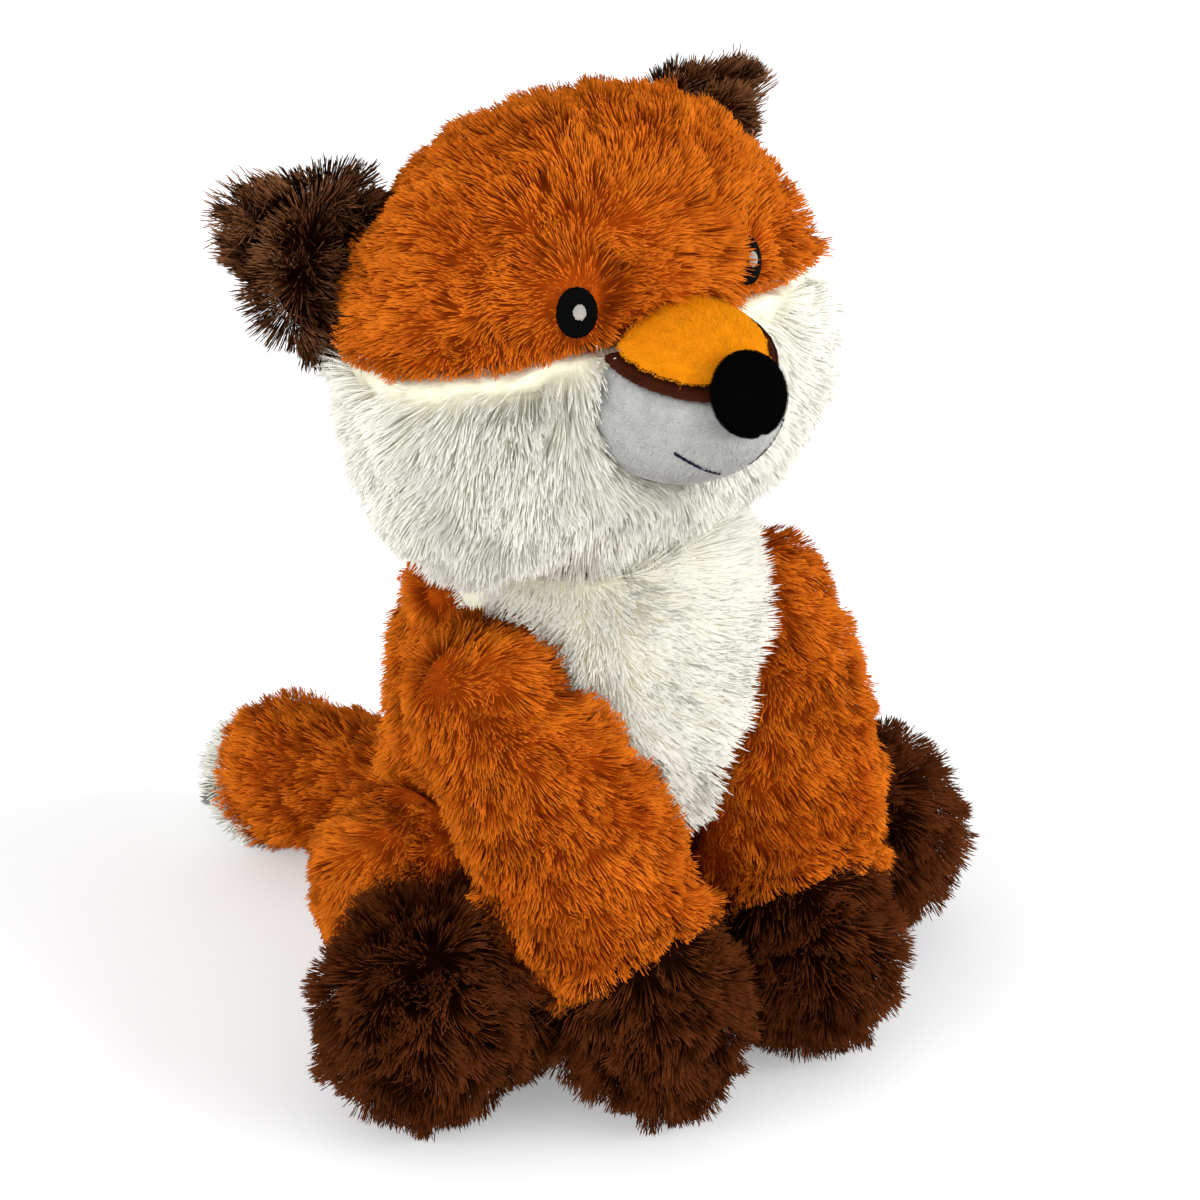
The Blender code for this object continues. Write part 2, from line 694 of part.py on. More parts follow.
def build_front_legs(body_form):
    """Front legs that swing forward at the shoulder, each with a brown paw."""
    root = shoulder()
    paw = front_paw_egg()
    paw_form = add("front_paw_form", egg_mesh(paw, SMALL_SEGMENTS, SMALL_RINGS))
    paw_piece = add("front_paw_left", egg_mesh(paw, SMALL_SEGMENTS, SMALL_RINGS), BROWN)
    combine(paw_piece, floor_block(paw.centre, FRONT_PAW_HALF_LENGTH + OVERRUN), "DIFFERENCE")
    settle(paw_piece)
    add_right(paw_piece)
    ankle = Vector((paw.centre.x, paw.centre.y + 0.5 * ANKLE_RADIUS, ANKLE_HEIGHT))
    middle = 0.5 * (root + ankle) + Vector((-FRONT_LEG_MIDDLE_IN, -FRONT_LEG_BOW, 0.0))
    radii = (SHOULDER_RADIUS - SEAM_GAP - SEAM_GAP, FRONT_LEG_MIDDLE_RADIUS, ANKLE_RADIUS)
    leg_form = add("front_leg_form", limb_mesh((root, middle, ankle), radii))
    leg = add("front_leg_left", limb_mesh((root, middle, ankle), radii), ORANGE)
    cut_swing(leg, body_form, root, Vector((-1.0, 0.0, 0.0)), FRONT_LEG_SWING)
    combine(leg, add("shoulder_ball", ball_mesh(root, SHOULDER_RADIUS)), "UNION")
    combine(leg, grown(paw_form, SEAM_GAP), "DIFFERENCE")
    settle(leg)
    add_right(leg)
    return leg_form, paw_form


def build_hind_legs(body_form, front_forms):
    """Hind legs that spread outwards at the hip, each with a brown paw turned up to the front."""
    root = hip()
    paw = hind_paw_egg()
    paw_form = add("hind_paw_form", egg_mesh(paw, SMALL_SEGMENTS, SMALL_RINGS))
    paw_piece = add("hind_paw_left", egg_mesh(paw, SMALL_SEGMENTS, SMALL_RINGS), BROWN)
    combine(paw_piece, floor_block(paw.centre, HIND_PAW_HALF_LENGTH + OVERRUN), "DIFFERENCE")
    leg = add("hind_leg_left", egg_mesh(thigh_egg(), SMALL_SEGMENTS, SMALL_RINGS), ORANGE)
    cut_swing(leg, body_form, root, Vector((0.0, 0.0, 1.0)), HIND_LEG_SWING)
    combine(leg, add("hip_ball", ball_mesh(root, HIP_RADIUS)), "UNION")
    combine(leg, grown(paw_form, SEAM_GAP), "DIFFERENCE")
    for piece in (paw_piece, leg):
        for front_form in front_forms:
            combine(piece, grown(front_form, SWING_GAP), "DIFFERENCE")
        settle(piece)
        add_right(piece)


def build_tail(body_form):
    """The tail, lying on the floor behind the body, with a white end on its far side."""
    root = tail_root()
    middle = Vector((-TAIL_MIDDLE_SIDE, root.y + TAIL_MIDDLE_BACK, TAIL_MIDDLE_RADIUS - FLOOR_FLAT))
    end = Vector((-TAIL_END_SIDE, root.y + TAIL_END_BACK, TAIL_END_RADIUS - FLOOR_FLAT))
    centres = (root, middle, end)
    radii = (TAIL_ROOT_RADIUS - SEAM_GAP - SEAM_GAP, TAIL_MIDDLE_RADIUS, TAIL_END_RADIUS)
    turn, rise = TAIL_TIP_FACING
    facing = direction(math.radians(turn), math.radians(rise))
    frame = facing_frame(end + facing * TAIL_TIP_START, facing)
    turned = frame.to_3x3().to_4x4()
    reach = TAIL_END_BACK + TAIL_END_RADIUS + OVERRUN
    floor = floor_block(middle, reach)
    tail = add("tail", limb_mesh(centres, radii), ORANGE)
    cut_swing(tail, body_form, root, Vector((0.0, 0.0, 1.0)), TAIL_SWING)
    combine(tail, add("tail_ball", ball_mesh(root, TAIL_ROOT_RADIUS)), "UNION")
    tip = add("tail_tip", limb_mesh(centres, radii), WHITE)
    # The block before a piece's end of the cut is on its -Y side, and the one behind it on its +Y side.
    for piece, off in ((tail, -reach), (tip, reach - SEAM_GAP)):
        block = block_mesh(frame @ Vector((0.0, off, 0.0)), (reach, reach, reach), turned)
        combine(piece, add(piece.name + "_cut", block), "DIFFERENCE")
        combine(piece, floor, "DIFFERENCE")
        settle(piece)


def main():
    for piece in list(bpy.data.objects):
        bpy.data.objects.remove(piece)
    body_form = build_body()
    head_form = build_head()
    build_muzzle(head_form)
    build_face(head_form)
    build_ears(head_form)
    front_forms = build_front_legs(body_form)
    build_hind_legs(body_form, front_forms)
    build_tail(body_form)


main()
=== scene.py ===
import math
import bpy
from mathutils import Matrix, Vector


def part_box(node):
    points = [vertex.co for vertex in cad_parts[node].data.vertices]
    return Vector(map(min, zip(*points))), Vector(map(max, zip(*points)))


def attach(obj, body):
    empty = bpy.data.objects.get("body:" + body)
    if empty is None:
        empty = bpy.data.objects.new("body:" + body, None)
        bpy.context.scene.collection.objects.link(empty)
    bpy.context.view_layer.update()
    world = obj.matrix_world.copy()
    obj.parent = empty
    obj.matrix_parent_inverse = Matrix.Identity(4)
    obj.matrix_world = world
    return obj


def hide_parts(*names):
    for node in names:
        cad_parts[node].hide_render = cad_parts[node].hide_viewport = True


bl_info = {
    "name": "Plush Fox",
    "version": (1, 0, 0),
    "blender": (4, 5, 0),
    "location": "3D View > Sidebar > Plush Fox",
    "description": "Dresses the packed fox in stuffed skins, combed pile and embroidery, in a plain studio",
    "category": "Add Mesh",
}

from dataclasses import dataclass, replace

import bmesh
import bpy
import numpy as np
from bpy.props import FloatProperty, FloatVectorProperty, IntProperty, PointerProperty
from mathutils import Matrix, Vector
from mathutils.bvhtree import BVHTree

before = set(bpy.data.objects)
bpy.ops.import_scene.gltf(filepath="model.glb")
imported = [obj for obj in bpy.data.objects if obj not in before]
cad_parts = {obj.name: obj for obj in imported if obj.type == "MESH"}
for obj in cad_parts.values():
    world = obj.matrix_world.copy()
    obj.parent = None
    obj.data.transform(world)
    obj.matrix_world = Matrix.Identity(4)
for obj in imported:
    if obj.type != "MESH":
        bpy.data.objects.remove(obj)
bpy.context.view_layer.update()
MM = 0.001
PANEL_TAB = "Plush Fox"
SIDES = {"left": 1.0, "right": -1.0}
FLOOR_CLEARANCE = 0.2 * MM

# Places on the fox that its pile is combed from, and the way that it falls on the legs
FACE_POINT = Vector((0.0, -0.066, 0.214))
MUZZLE_POINT = FACE_POINT + Vector((0.0, -0.04, 0.0))
NECK_MIDDLE = Vector((0.0, -0.008, 0.145))
EAR_ROOT = (0.0496, 0.0118, 0.221)
TAIL_ROOT = Vector((0.0, 0.038, 0.03))
LEG_FALL = Vector((0.25, -0.6, -1.0))

# How far round a place, a seam or a neighbour the pile changes
OPEN_REACH = 16.0 * MM
BIB_HALF_WIDTH = 36.0 * MM
BIB_LEAN = 0.35
BIB_CHANGE_REACH = 24.0 * MM
LEG_OVER_BIB_REACH = 34.0 * MM
RUFF_LONG_BELOW = 170.0 * MM
CHIN_HALF_WIDTH = 26.0 * MM
PAW_GAP_REACH = 14.0 * MM
BRIDGE_HALF_WIDTH = 27.0 * MM
EYE_FUR_REACH = 15.0 * MM
FACE_FUR_REACH = 16.0 * MM
STRAY_SHARE = 0.13

# Attributes that only the growing of the pile needs
GROWTH_ATTRIBUTES = (
    "cell", "side", "comb", "skin_normal", "root_normal", "length_share", "density_share", "open_share",
)

# The stripe and the smile of the muzzle
STRIPE_SHARE = 0.62
STRIPE_TURN = 240.0
STRIPE_STEPS = 1440
STITCH_SPACING = 0.42 * MM
STITCH_DEPTH = 0.1 * MM
SMILE_START = Vector((17.8, -79.8, 194.4)) * MM
SMILE_END = Vector((4.6, -81.8, 185.6)) * MM
SMILE_SAG = 0.7 * MM
SMILE_STITCHES = 9


def colour_setting(name, description, value):
    """A colour that a user may change, in linear values."""
    return FloatVectorProperty(
        name=name, description=description, default=value, subtype="COLOR", size=3, min=0.0, max=1.0
    )


def length_setting(name, description, value):
    """A length that a user may change, in metres."""
    return FloatProperty(name=name, description=description, default=value, min=0.0, unit="LENGTH")


def strength_setting(name, description, value):
    """A strength of light that a user may change."""
    return FloatProperty(name=name, description=description, default=value, min=0.0)


class FoxPileSettings(bpy.types.PropertyGroup):
    """How long, how close and how thick the pile of each part is."""

    orange_length: length_setting("Orange length", "Length of the orange pile", 8.2 * MM)
    orange_spacing: length_setting("Orange spacing", "Distance between two orange strands", 0.6 * MM)
    white_length: length_setting("White length", "Length of the pile of the ruff and the bib", 12.0 * MM)
    white_spacing: length_setting("White spacing", "Distance between two white strands", 0.49 * MM)
    brown_length: length_setting("Brown length", "Length of the pile of the paws", 10.5 * MM)
    brown_spacing: length_setting("Brown spacing", "Distance between two brown strands", 0.6 * MM)
    ear_length: length_setting("Ear length", "Length of the pile of the ears", 11.0 * MM)
    ear_spacing: length_setting("Ear spacing", "Distance between two strands of the ears", 0.44 * MM)
    short_length: length_setting("Short length", "Length of the pile of the muzzle and the nose", 1.3 * MM)
    short_spacing: length_setting("Short spacing", "Distance between two short strands", 0.42 * MM)
    strand_width: length_setting("Strand width", "Width of a tuft of fibres at its widest", 0.33 * MM)
    short_strand_width: length_setting("Short strand width", "Width of a short strand", 0.2 * MM)
    seed: IntProperty(name="Seed", description="Changes where each strand stands", default=7, min=0)


class FoxColourSettings(bpy.types.PropertyGroup):
    """The colours of the pile, from root to tip, and of the embroidery. The roots are darker than the tips as
    painted shade deep in the coat, and the white roots are more yellow as a painted tint of that shade.
    """

    # Root colours: painted shade deep in the coat, darker than the tips (for the white pile, a yellower
    # tint).
    orange_root: colour_setting("Orange root", "Roots of the orange pile", (0.14, 0.016, 0.002))
    orange_middle: colour_setting("Orange middle", "Middle of the orange pile", (0.42, 0.066, 0.004))
    orange_tip: colour_setting("Orange tip", "Tips of the orange pile", (0.74, 0.175, 0.012))
    white_root: colour_setting("White root", "Roots of the white pile", (0.96, 0.935, 0.72))
    white_middle: colour_setting("White middle", "Middle of the white pile", (0.965, 0.945, 0.8))
    white_tip: colour_setting("White tip", "Tips of the white pile", (0.96, 0.945, 0.86))
    brown_root: colour_setting("Brown root", "Roots of the brown pile", (0.01, 0.0025, 0.001))
    brown_middle: colour_setting("Brown middle", "Middle of the brown pile", (0.045, 0.011, 0.003))
    brown_tip: colour_setting("Brown tip", "Tips of the brown pile", (0.125, 0.033, 0.009))
    ear_tip: colour_setting("Ear tip", "Tips of the long pile of the ears", (0.22, 0.09, 0.038))
    gold: colour_setting("Gold", "Top of the muzzle", (0.86, 0.28, 0.006))
    grey: colour_setting("Grey", "Bottom of the muzzle", (0.49, 0.49, 0.475))
    black: colour_setting("Black", "Nose and eyes", (0.0015, 0.0015, 0.0016))
    stitch: colour_setting("Stitch", "Stripe of satin stitch on the muzzle", (0.05, 0.012, 0.005))
    thread: colour_setting("Thread", "Thread of the smile", (0.012, 0.014, 0.03))
    glint: colour_setting("Glint", "Small stitches on the eyes", (0.36, 0.34, 0.31))


class FoxStageSettings(bpy.types.PropertyGroup):
    """Where the camera stands and how bright the studio is."""

    turned: FloatProperty(
        name="Turned", description="How far the camera stands round the fox",
        default=math.radians(-37.2), subtype="ANGLE",
    )
    raised: FloatProperty(
        name="Raised", description="How far the camera looks down",
        default=math.radians(28.5), subtype="ANGLE",
    )
    distance: length_setting("Distance", "From the camera to the fox", 1.1)
    aim_right: length_setting("Aim right", "How far to the right the camera aims", 0.0106)
    aim_up: length_setting("Aim up", "How far up the camera aims", 0.1015)
    aim_forward: length_setting("Aim forward", "How far in front of the body the camera aims", 0.008)
    lens: FloatProperty(name="Lens", description="Focal length", default=113.2, unit="CAMERA")
    floor: colour_setting("Floor", "Colour of the floor", (0.86, 0.86, 0.86))
    key_strength: strength_setting("Key light", "Strength of the main light", 2.85)
    rim_strength: strength_setting("Rim light", "Strength of the light behind", 2.2)
    fill_strength: strength_setting("Fill light", "Strength of the light all round", 0.66)


@dataclass
class Pile:
    """How one kind of pile grows. Lengths are in metres, and the other values are shares."""

    length: float
    spacing: float
    width: float
    raised: float
    clump: float
    clump_spacing: float
    wander: float
    soft: float
    rounded: float


def orange_pile():
    """The pile of the body, the crown, the legs and the tail."""
    pile = bpy.context.scene.fox_pile
    return Pile(
        length=pile.orange_length, spacing=pile.orange_spacing, width=pile.strand_width,
        raised=0.5, clump=0.5, clump_spacing=4.5 * MM, wander=0.95, soft=0.95, rounded=0.9,
    )


def white_pile():
    """The pile of the ruff, the bib and the tip of the tail."""
    pile = bpy.context.scene.fox_pile
    return Pile(
        length=pile.white_length, spacing=pile.white_spacing, width=0.85 * pile.strand_width,
        raised=0.55, clump=0.3, clump_spacing=6.0 * MM, wander=0.6, soft=1.0, rounded=0.1,
    )


def brown_pile():
    """The pile of the paws."""
    pile = bpy.context.scene.fox_pile
    return Pile(
        length=pile.brown_length, spacing=pile.brown_spacing, width=pile.strand_width,
        raised=0.7, clump=0.8, clump_spacing=5.0 * MM, wander=1.0, soft=0.85, rounded=0.9,
    )


def ear_pile():
    """The pile of the ears and their linings."""
    pile = bpy.context.scene.fox_pile
    return Pile(
        length=pile.ear_length, spacing=pile.ear_spacing, width=pile.strand_width,
        raised=0.24, clump=0.85, clump_spacing=6.0 * MM, wander=0.45, soft=0.85, rounded=0.8,
    )


def short_pile():
    """The pile of the muzzle and the nose."""
    pile = bpy.context.scene.fox_pile
    return Pile(
        length=pile.short_length, spacing=pile.short_spacing, width=pile.short_strand_width,
        raised=0.4, clump=0.2, clump_spacing=1.6 * MM, wander=0.3, soft=0.6, rounded=0.0,
    )


class Graph:
    """Adds nodes to a node tree. An input is given by its number or name, as a value or as an output."""

    def __init__(self, tree):
        self.tree = tree

    def add(self, kind, inputs=None, **settings):
        node = self.tree.nodes.new(kind)
        for name, value in settings.items():
            setattr(node, name, value)
        for place, value in (inputs or {}).items():
            if isinstance(value, bpy.types.NodeSocket):
                self.tree.links.new(value, node.inputs[place])
            else:
                node.inputs[place].default_value = value
        return node

    def number(self, operation, first, second=0.0):
        return self.add("ShaderNodeMath", {0: first, 1: second}, operation=operation).outputs[0]

    def vector(self, operation, first, second=(0.0, 0.0, 0.0)):
        node = self.add("ShaderNodeVectorMath", {0: first, 1: second}, operation=operation)
        return node.outputs["Vector"]

    def scaled(self, vector, share):
        node = self.add("ShaderNodeVectorMath", {0: vector, "Scale": share}, operation="SCALE")
        return node.outputs["Vector"]

    def named(self, name, kind):
        return self.add("GeometryNodeInputNamedAttribute", {"Name": name}, data_type=kind).outputs[0]

    def stored(self, geometry, name, value, kind, domain):
        inputs = {"Geometry": geometry, "Name": name, "Value": value}
        return self.add("GeometryNodeStoreNamedAttribute", inputs, data_type=kind, domain=domain).outputs[0]


def poisson_points(graph, skin, spacing, density_share, seed):
    """Points on a skin, at about this distance from each other."""
    closeness = graph.number("DIVIDE", 2.0, graph.number("MULTIPLY", spacing, spacing))
    inputs = {
        "Mesh": skin,
        "Distance Min": graph.number("MULTIPLY", spacing, 0.75),
        "Density Max": closeness,
        "Density Factor": density_share,
        "Seed": seed,
    }
    node = graph.add("GeometryNodeDistributePointsOnFaces", inputs, distribute_method="POISSON")
    return node.outputs["Points"]


def combed_pile_tree():
    """The node group that grows one strand at each point of a skin, combs it and draws it into a tuft."""
    tree = bpy.data.node_groups.get("Combed pile")
    if tree:
        return tree
    tree = bpy.data.node_groups.new("Combed pile", "GeometryNodeTree")
    sockets = (
        ("Skin", "NodeSocketGeometry"), ("Strand", "NodeSocketObject"), ("Material", "NodeSocketMaterial"),
        ("Length", "NodeSocketFloat"), ("Spacing", "NodeSocketFloat"), ("Width", "NodeSocketFloat"),
        ("Raised", "NodeSocketFloat"), ("Clump", "NodeSocketFloat"), ("Clump spacing", "NodeSocketFloat"),
        ("Wander", "NodeSocketFloat"), ("Soft", "NodeSocketFloat"), ("Rounded", "NodeSocketFloat"),
        ("Seed", "NodeSocketInt"),
    )
    for name, kind in sockets:
        tree.interface.new_socket(name=name, in_out="INPUT", socket_type=kind)
    tree.interface.new_socket(name="Pile", in_out="OUTPUT", socket_type="NodeSocketGeometry")
    graph = Graph(tree)
    given = graph.add("NodeGroupInput").outputs

    # Where the strands and the middles of the tufts stand
    density = graph.named("density_share", "FLOAT")
    points = poisson_points(graph, given["Skin"], given["Spacing"], density, given["Seed"])
    guide_seed = graph.number("ADD", given["Seed"], 1.0)
    guides = poisson_points(graph, given["Skin"], given["Clump spacing"], 1.0, guide_seed)

    # The way from a strand to the middle of its tuft
    place = graph.add("GeometryNodeInputPosition").outputs[0]
    nearest = graph.add(
        "GeometryNodeSampleNearest", {"Geometry": guides, "Sample Position": place}, domain="POINT"
    )
    sampled = graph.add(
        "GeometryNodeSampleIndex",
        {"Geometry": guides, "Value": place, "Index": nearest.outputs[0]},
        data_type="FLOAT_VECTOR", domain="POINT",
    )
    tuft_centre = sampled.outputs[0]
    pull = graph.scaled(graph.vector("SUBTRACT", tuft_centre, place), given["Clump"])
    off_centre = graph.vector("SUBTRACT", place, tuft_centre)
    rounding = graph.scaled(off_centre, graph.number("DIVIDE", given["Rounded"], given["Clump spacing"]))
    tuft_tone = graph.add("ShaderNodeTexWhiteNoise", {"Vector": tuft_centre}).outputs["Value"]

    # How the comb, a slow drift and chance turn a strand
    flat = graph.number("SUBTRACT", 1.0, given["Raised"])
    outward = graph.named("skin_normal", "FLOAT_VECTOR")
    comb = graph.scaled(graph.named("comb", "FLOAT_VECTOR"), flat)
    drift = graph.add("ShaderNodeTexNoise", {"Vector": place, "Scale": 95.0, "Detail": 2.0})
    drift = graph.scaled(graph.vector("SUBTRACT", drift.outputs["Color"], (0.5, 0.5, 0.5)), 4.0)
    combed = graph.add("ShaderNodeVectorMath", {0: graph.named("comb", "FLOAT_VECTOR")}, operation="LENGTH")
    lying = graph.add("ShaderNodeMapRange", {"Value": combed.outputs["Value"], "To Min": 0.3, "To Max": 1.0})
    drift = graph.scaled(drift, graph.number("MULTIPLY", given["Wander"], lying.outputs[0]))
    stray = graph.add(
        "FunctionNodeRandomValue", {0: (-1.0, -1.0, -1.0), 1: (1.0, 1.0, 1.0), "Seed": 3},
        data_type="FLOAT_VECTOR",
    )
    stray = graph.scaled(stray.outputs[0], STRAY_SHARE)
    tone = graph.add("FunctionNodeRandomValue", {2: 0.0, 3: 1.0, "Seed": 5}, data_type="FLOAT").outputs[1]
    tone = graph.number("MULTIPLY", graph.number("ADD", tone, tuft_tone), 0.5)
    spread = graph.add("FunctionNodeRandomValue", {2: 0.86, 3: 1.03, "Seed": 9}, data_type="FLOAT").outputs[1]

    # The length of a strand and the way that it points
    length = graph.number("MULTIPLY", given["Length"], graph.named("length_share", "FLOAT"))
    length = graph.number("MULTIPLY", length, spread)
    tuft_share = graph.number("MULTIPLY", graph.number("SUBTRACT", tuft_tone, 0.5), given["Clump"])
    taller = graph.number("ADD", 1.0, graph.number("MULTIPLY", tuft_share, 0.5))
    length = graph.number("MULTIPLY", length, taller)
    start = graph.vector("ADD", graph.scaled(outward, given["Raised"]), graph.scaled(comb, 0.7))
    start = graph.vector("NORMALIZE", graph.vector("ADD", start, stray))
    drawn = graph.scaled(pull, graph.number("DIVIDE", 1.0, given["Length"]))
    lean = graph.vector("ADD", graph.vector("ADD", comb, drift), drawn)
    heading = graph.vector("ADD", start, lean)

    # What each strand keeps of its point
    points = graph.stored(points, "tone", tone, "FLOAT", "POINT")
    tuft_normal = graph.vector("NORMALIZE", graph.vector("ADD", outward, rounding))
    points = graph.stored(points, "root_normal", tuft_normal, "FLOAT_VECTOR", "POINT")
    number = graph.add("GeometryNodeInputIndex").outputs[0]
    points = graph.stored(points, "cell", number, "FLOAT", "POINT")
    count = graph.add("GeometryNodeAttributeDomainSize", {"Geometry": points}, component="POINTCLOUD")
    cells = graph.number("CEIL", graph.number("SQRT", graph.number("ADD", count.outputs[0], 1.0)))

    # The strands themselves, kept above the floor
    strand = graph.add("GeometryNodeObjectInfo", {"Object": given["Strand"]}).outputs["Geometry"]
    rotation = graph.add("FunctionNodeAlignRotationToVector", {"Vector": heading}, axis="Z").outputs[0]
    half_width = graph.number("MULTIPLY", given["Width"], 0.5)
    scale = graph.add("ShaderNodeCombineXYZ", {0: half_width, 1: half_width, 2: length}).outputs[0]
    inputs = {"Points": points, "Instance": strand, "Rotation": rotation, "Scale": scale}
    strands = graph.add("GeometryNodeInstanceOnPoints", inputs).outputs[0]
    strands = graph.add("GeometryNodeRealizeInstances", {"Geometry": strands}).outputs[0]
    over_floor = graph.vector("MAXIMUM", place, (-1.0, -1.0, FLOOR_CLEARANCE))
    strands = graph.add("GeometryNodeSetPosition", {"Geometry": strands, "Position": over_floor}).outputs[0]

    # A cell of the bake map for each strand
    height = graph.named("height", "FLOAT")
    cell = graph.named("cell", "FLOAT")
    column = graph.number("MODULO", cell, cells)
    row = graph.number("FLOOR", graph.number("DIVIDE", cell, cells))
    side = graph.number("MULTIPLY", graph.named("side", "FLOAT"), 0.6)
    across = graph.number("ADD", column, graph.number("ADD", 0.2, side))
    upward = graph.number("ADD", row, graph.number("ADD", 0.1, graph.number("MULTIPLY", height, 0.8)))
    inputs = {0: graph.number("DIVIDE", across, cells), 1: graph.number("DIVIDE", upward, cells)}
    map_place = graph.add("ShaderNodeCombineXYZ", inputs).outputs[0]
    strands = graph.stored(strands, "OFBake", map_place, "FLOAT2", "CORNER")

    # Softened shading, with the skin's normal mixed in, and the material
    strands = graph.add("GeometryNodeSetShadeSmooth", {"Geometry": strands, "Shade Smooth": True}).outputs[0]
    own = graph.add("GeometryNodeInputNormal").outputs[0]
    kept = graph.number("SUBTRACT", 1.0, given["Soft"])
    from_skin = graph.scaled(graph.named("root_normal", "FLOAT_VECTOR"), given["Soft"])
    softened = graph.vector("ADD", graph.scaled(own, kept), from_skin)
    finish = graph.add("GeometryNodeSetMeshNormal", {"Mesh": strands}, mode="FREE", domain="POINT")
    tree.links.new(graph.vector("NORMALIZE", softened), finish.inputs["Custom Normal"])
    inputs = {"Geometry": finish.outputs[0], "Material": given["Material"]}
    finish = graph.add("GeometryNodeSetMaterial", inputs)
    graph.add("NodeGroupOutput", {"Pile": finish.outputs[0]})
    return tree


def merged(node):
    """A closed bmesh of a CAD node, whose own mesh is loose triangles."""
    mesh = bmesh.new()
    mesh.from_mesh(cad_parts[node].data)
    bmesh.ops.remove_doubles(mesh, verts=mesh.verts, dist=0.002 * MM)
    return mesh


def tree_of(nodes):
    """A tree of surfaces of these CAD nodes, for rays and nearest points."""
    joined = bmesh.new()
    for node in nodes:
        joined.from_mesh(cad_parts[node].data)
    made = BVHTree.FromBMesh(joined)
    joined.free()
    return made


def new_piece(name, mesh):
    data = bpy.data.meshes.new(name)
    if isinstance(mesh, bmesh.types.BMesh):
        mesh.to_mesh(data)
        mesh.free()
    else:
        data = mesh
    piece = bpy.data.objects.new(name, data)
    bpy.context.scene.collection.objects.link(piece)
    return piece


def apply_modifiers(piece):
    """Replaces a piece's mesh by what its modifiers make of it."""
    graph = bpy.context.evaluated_depsgraph_get()
    shaped = bpy.data.meshes.new_from_object(
        piece.evaluated_get(graph), preserve_all_data_layers=True, depsgraph=graph
    )
    piece.modifiers.clear()
    piece.data = shaped
    shaped.name = piece.name
    return piece


def even_mesh(piece, voxel):
    """Gives a piece an even mesh of the same form, in cells of this size."""
    even = piece.modifiers.new("even mesh", "REMESH")
    even.mode = "VOXEL"
    even.voxel_size = voxel
    apply_modifiers(piece)


def shade_smooth(piece):
    piece.data.polygons.foreach_set("use_smooth", [True] * len(piece.data.polygons))


def places_of(mesh):
    places = np.zeros(len(mesh.vertices) * 3, np.float32)
    mesh.vertices.foreach_get("co", places)
    return places.reshape(-1, 3)


def store(mesh, name, kind, values):
    """Writes one value for each vertex, as an attribute of the mesh."""
    layer = mesh.attributes.get(name) or mesh.attributes.new(name, kind, "POINT")
    field = "vector" if kind == "FLOAT_VECTOR" else "value"
    layer.data.foreach_set(field, np.asarray(values, np.float32).ravel())


def fetch(mesh, name):
    values = np.zeros(len(mesh.vertices), np.float32)
    mesh.attributes[name].data.foreach_get("value", values)
    return values


def rays_about(normal):
    """A ray along the normal and six rays about it."""
    sideways = normal.orthogonal().normalized()
    rays = [normal]
    for step in range(6):
        turned = Matrix.Rotation(math.radians(60.0 * step), 3, normal) @ sideways
        rays.append((normal + turned * 1.1).normalized())
    return rays


def openness(place, normal, neighbours):
    """How much of what a place looks out on is open, from 0 for a hidden place to 1."""
    start = place + normal * (0.1 * MM)
    hits = [neighbours.ray_cast(start, ray, OPEN_REACH)[0] is None for ray in rays_about(normal)]
    return (hits[0] * 3 + sum(hits[1:])) / 9.0


def draw_in(piece, solid, depths, smooth, steps=6):
    """Draws a skin in from its solid's surface, by its own depth at each vertex, and keeps it smooth."""
    mesh = bmesh.new()
    mesh.from_mesh(piece.data)
    mesh.verts.ensure_lookup_table()
    for step in range(1, steps + 1):
        mesh.normal_update()
        for vertex, depth in zip(mesh.verts, depths):
            near, facing, _, far = solid.find_nearest(vertex.co)
            inside = (vertex.co - near).dot(facing) < -0.2 * MM
            inward = (vertex.co - near).normalized() if inside else -vertex.normal
            wanted = depth * step / steps
            if far < wanted or not inside:
                vertex.co += inward * (wanted - far if inside else wanted + far * 0.5)
        bmesh.ops.smooth_vert(
            mesh, verts=mesh.verts, factor=smooth, use_axis_x=True, use_axis_y=True, use_axis_z=True
        )
    mesh.to_mesh(piece.data)
    mesh.free()


def skin_of(node, depth, voxel, smooth, gather=None, depth_share=None):
    """The fabric under a node's pile: the node's form, drawn in by the depth of the pile where it is open.

    gather is a place and a share: the form is first drawn towards the place, to leave room for long tips.
    depth_share says which share of the depth applies at a place."""
    piece = new_piece(node + "_skin", merged(node))
    even_mesh(piece, voxel)
    others = [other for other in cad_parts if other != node]
    neighbours = tree_of(others)
    solid = tree_of([node])
    open_shares = [openness(vertex.co, vertex.normal, neighbours) for vertex in piece.data.vertices]
    depths = [0.4 * MM + (depth - 0.4 * MM) * min(1.0, 1.4 * share) for share in open_shares]
    if depth_share:
        depths = [depth * depth_share(vertex.co) for depth, vertex in zip(depths, piece.data.vertices)]
    if gather:
        centre, share = gather
        for vertex in piece.data.vertices:
            vertex.co = centre + (vertex.co - centre) * share
    draw_in(piece, solid, depths, smooth)
    store(piece.data, "open_share", "FLOAT", open_shares)
    return piece


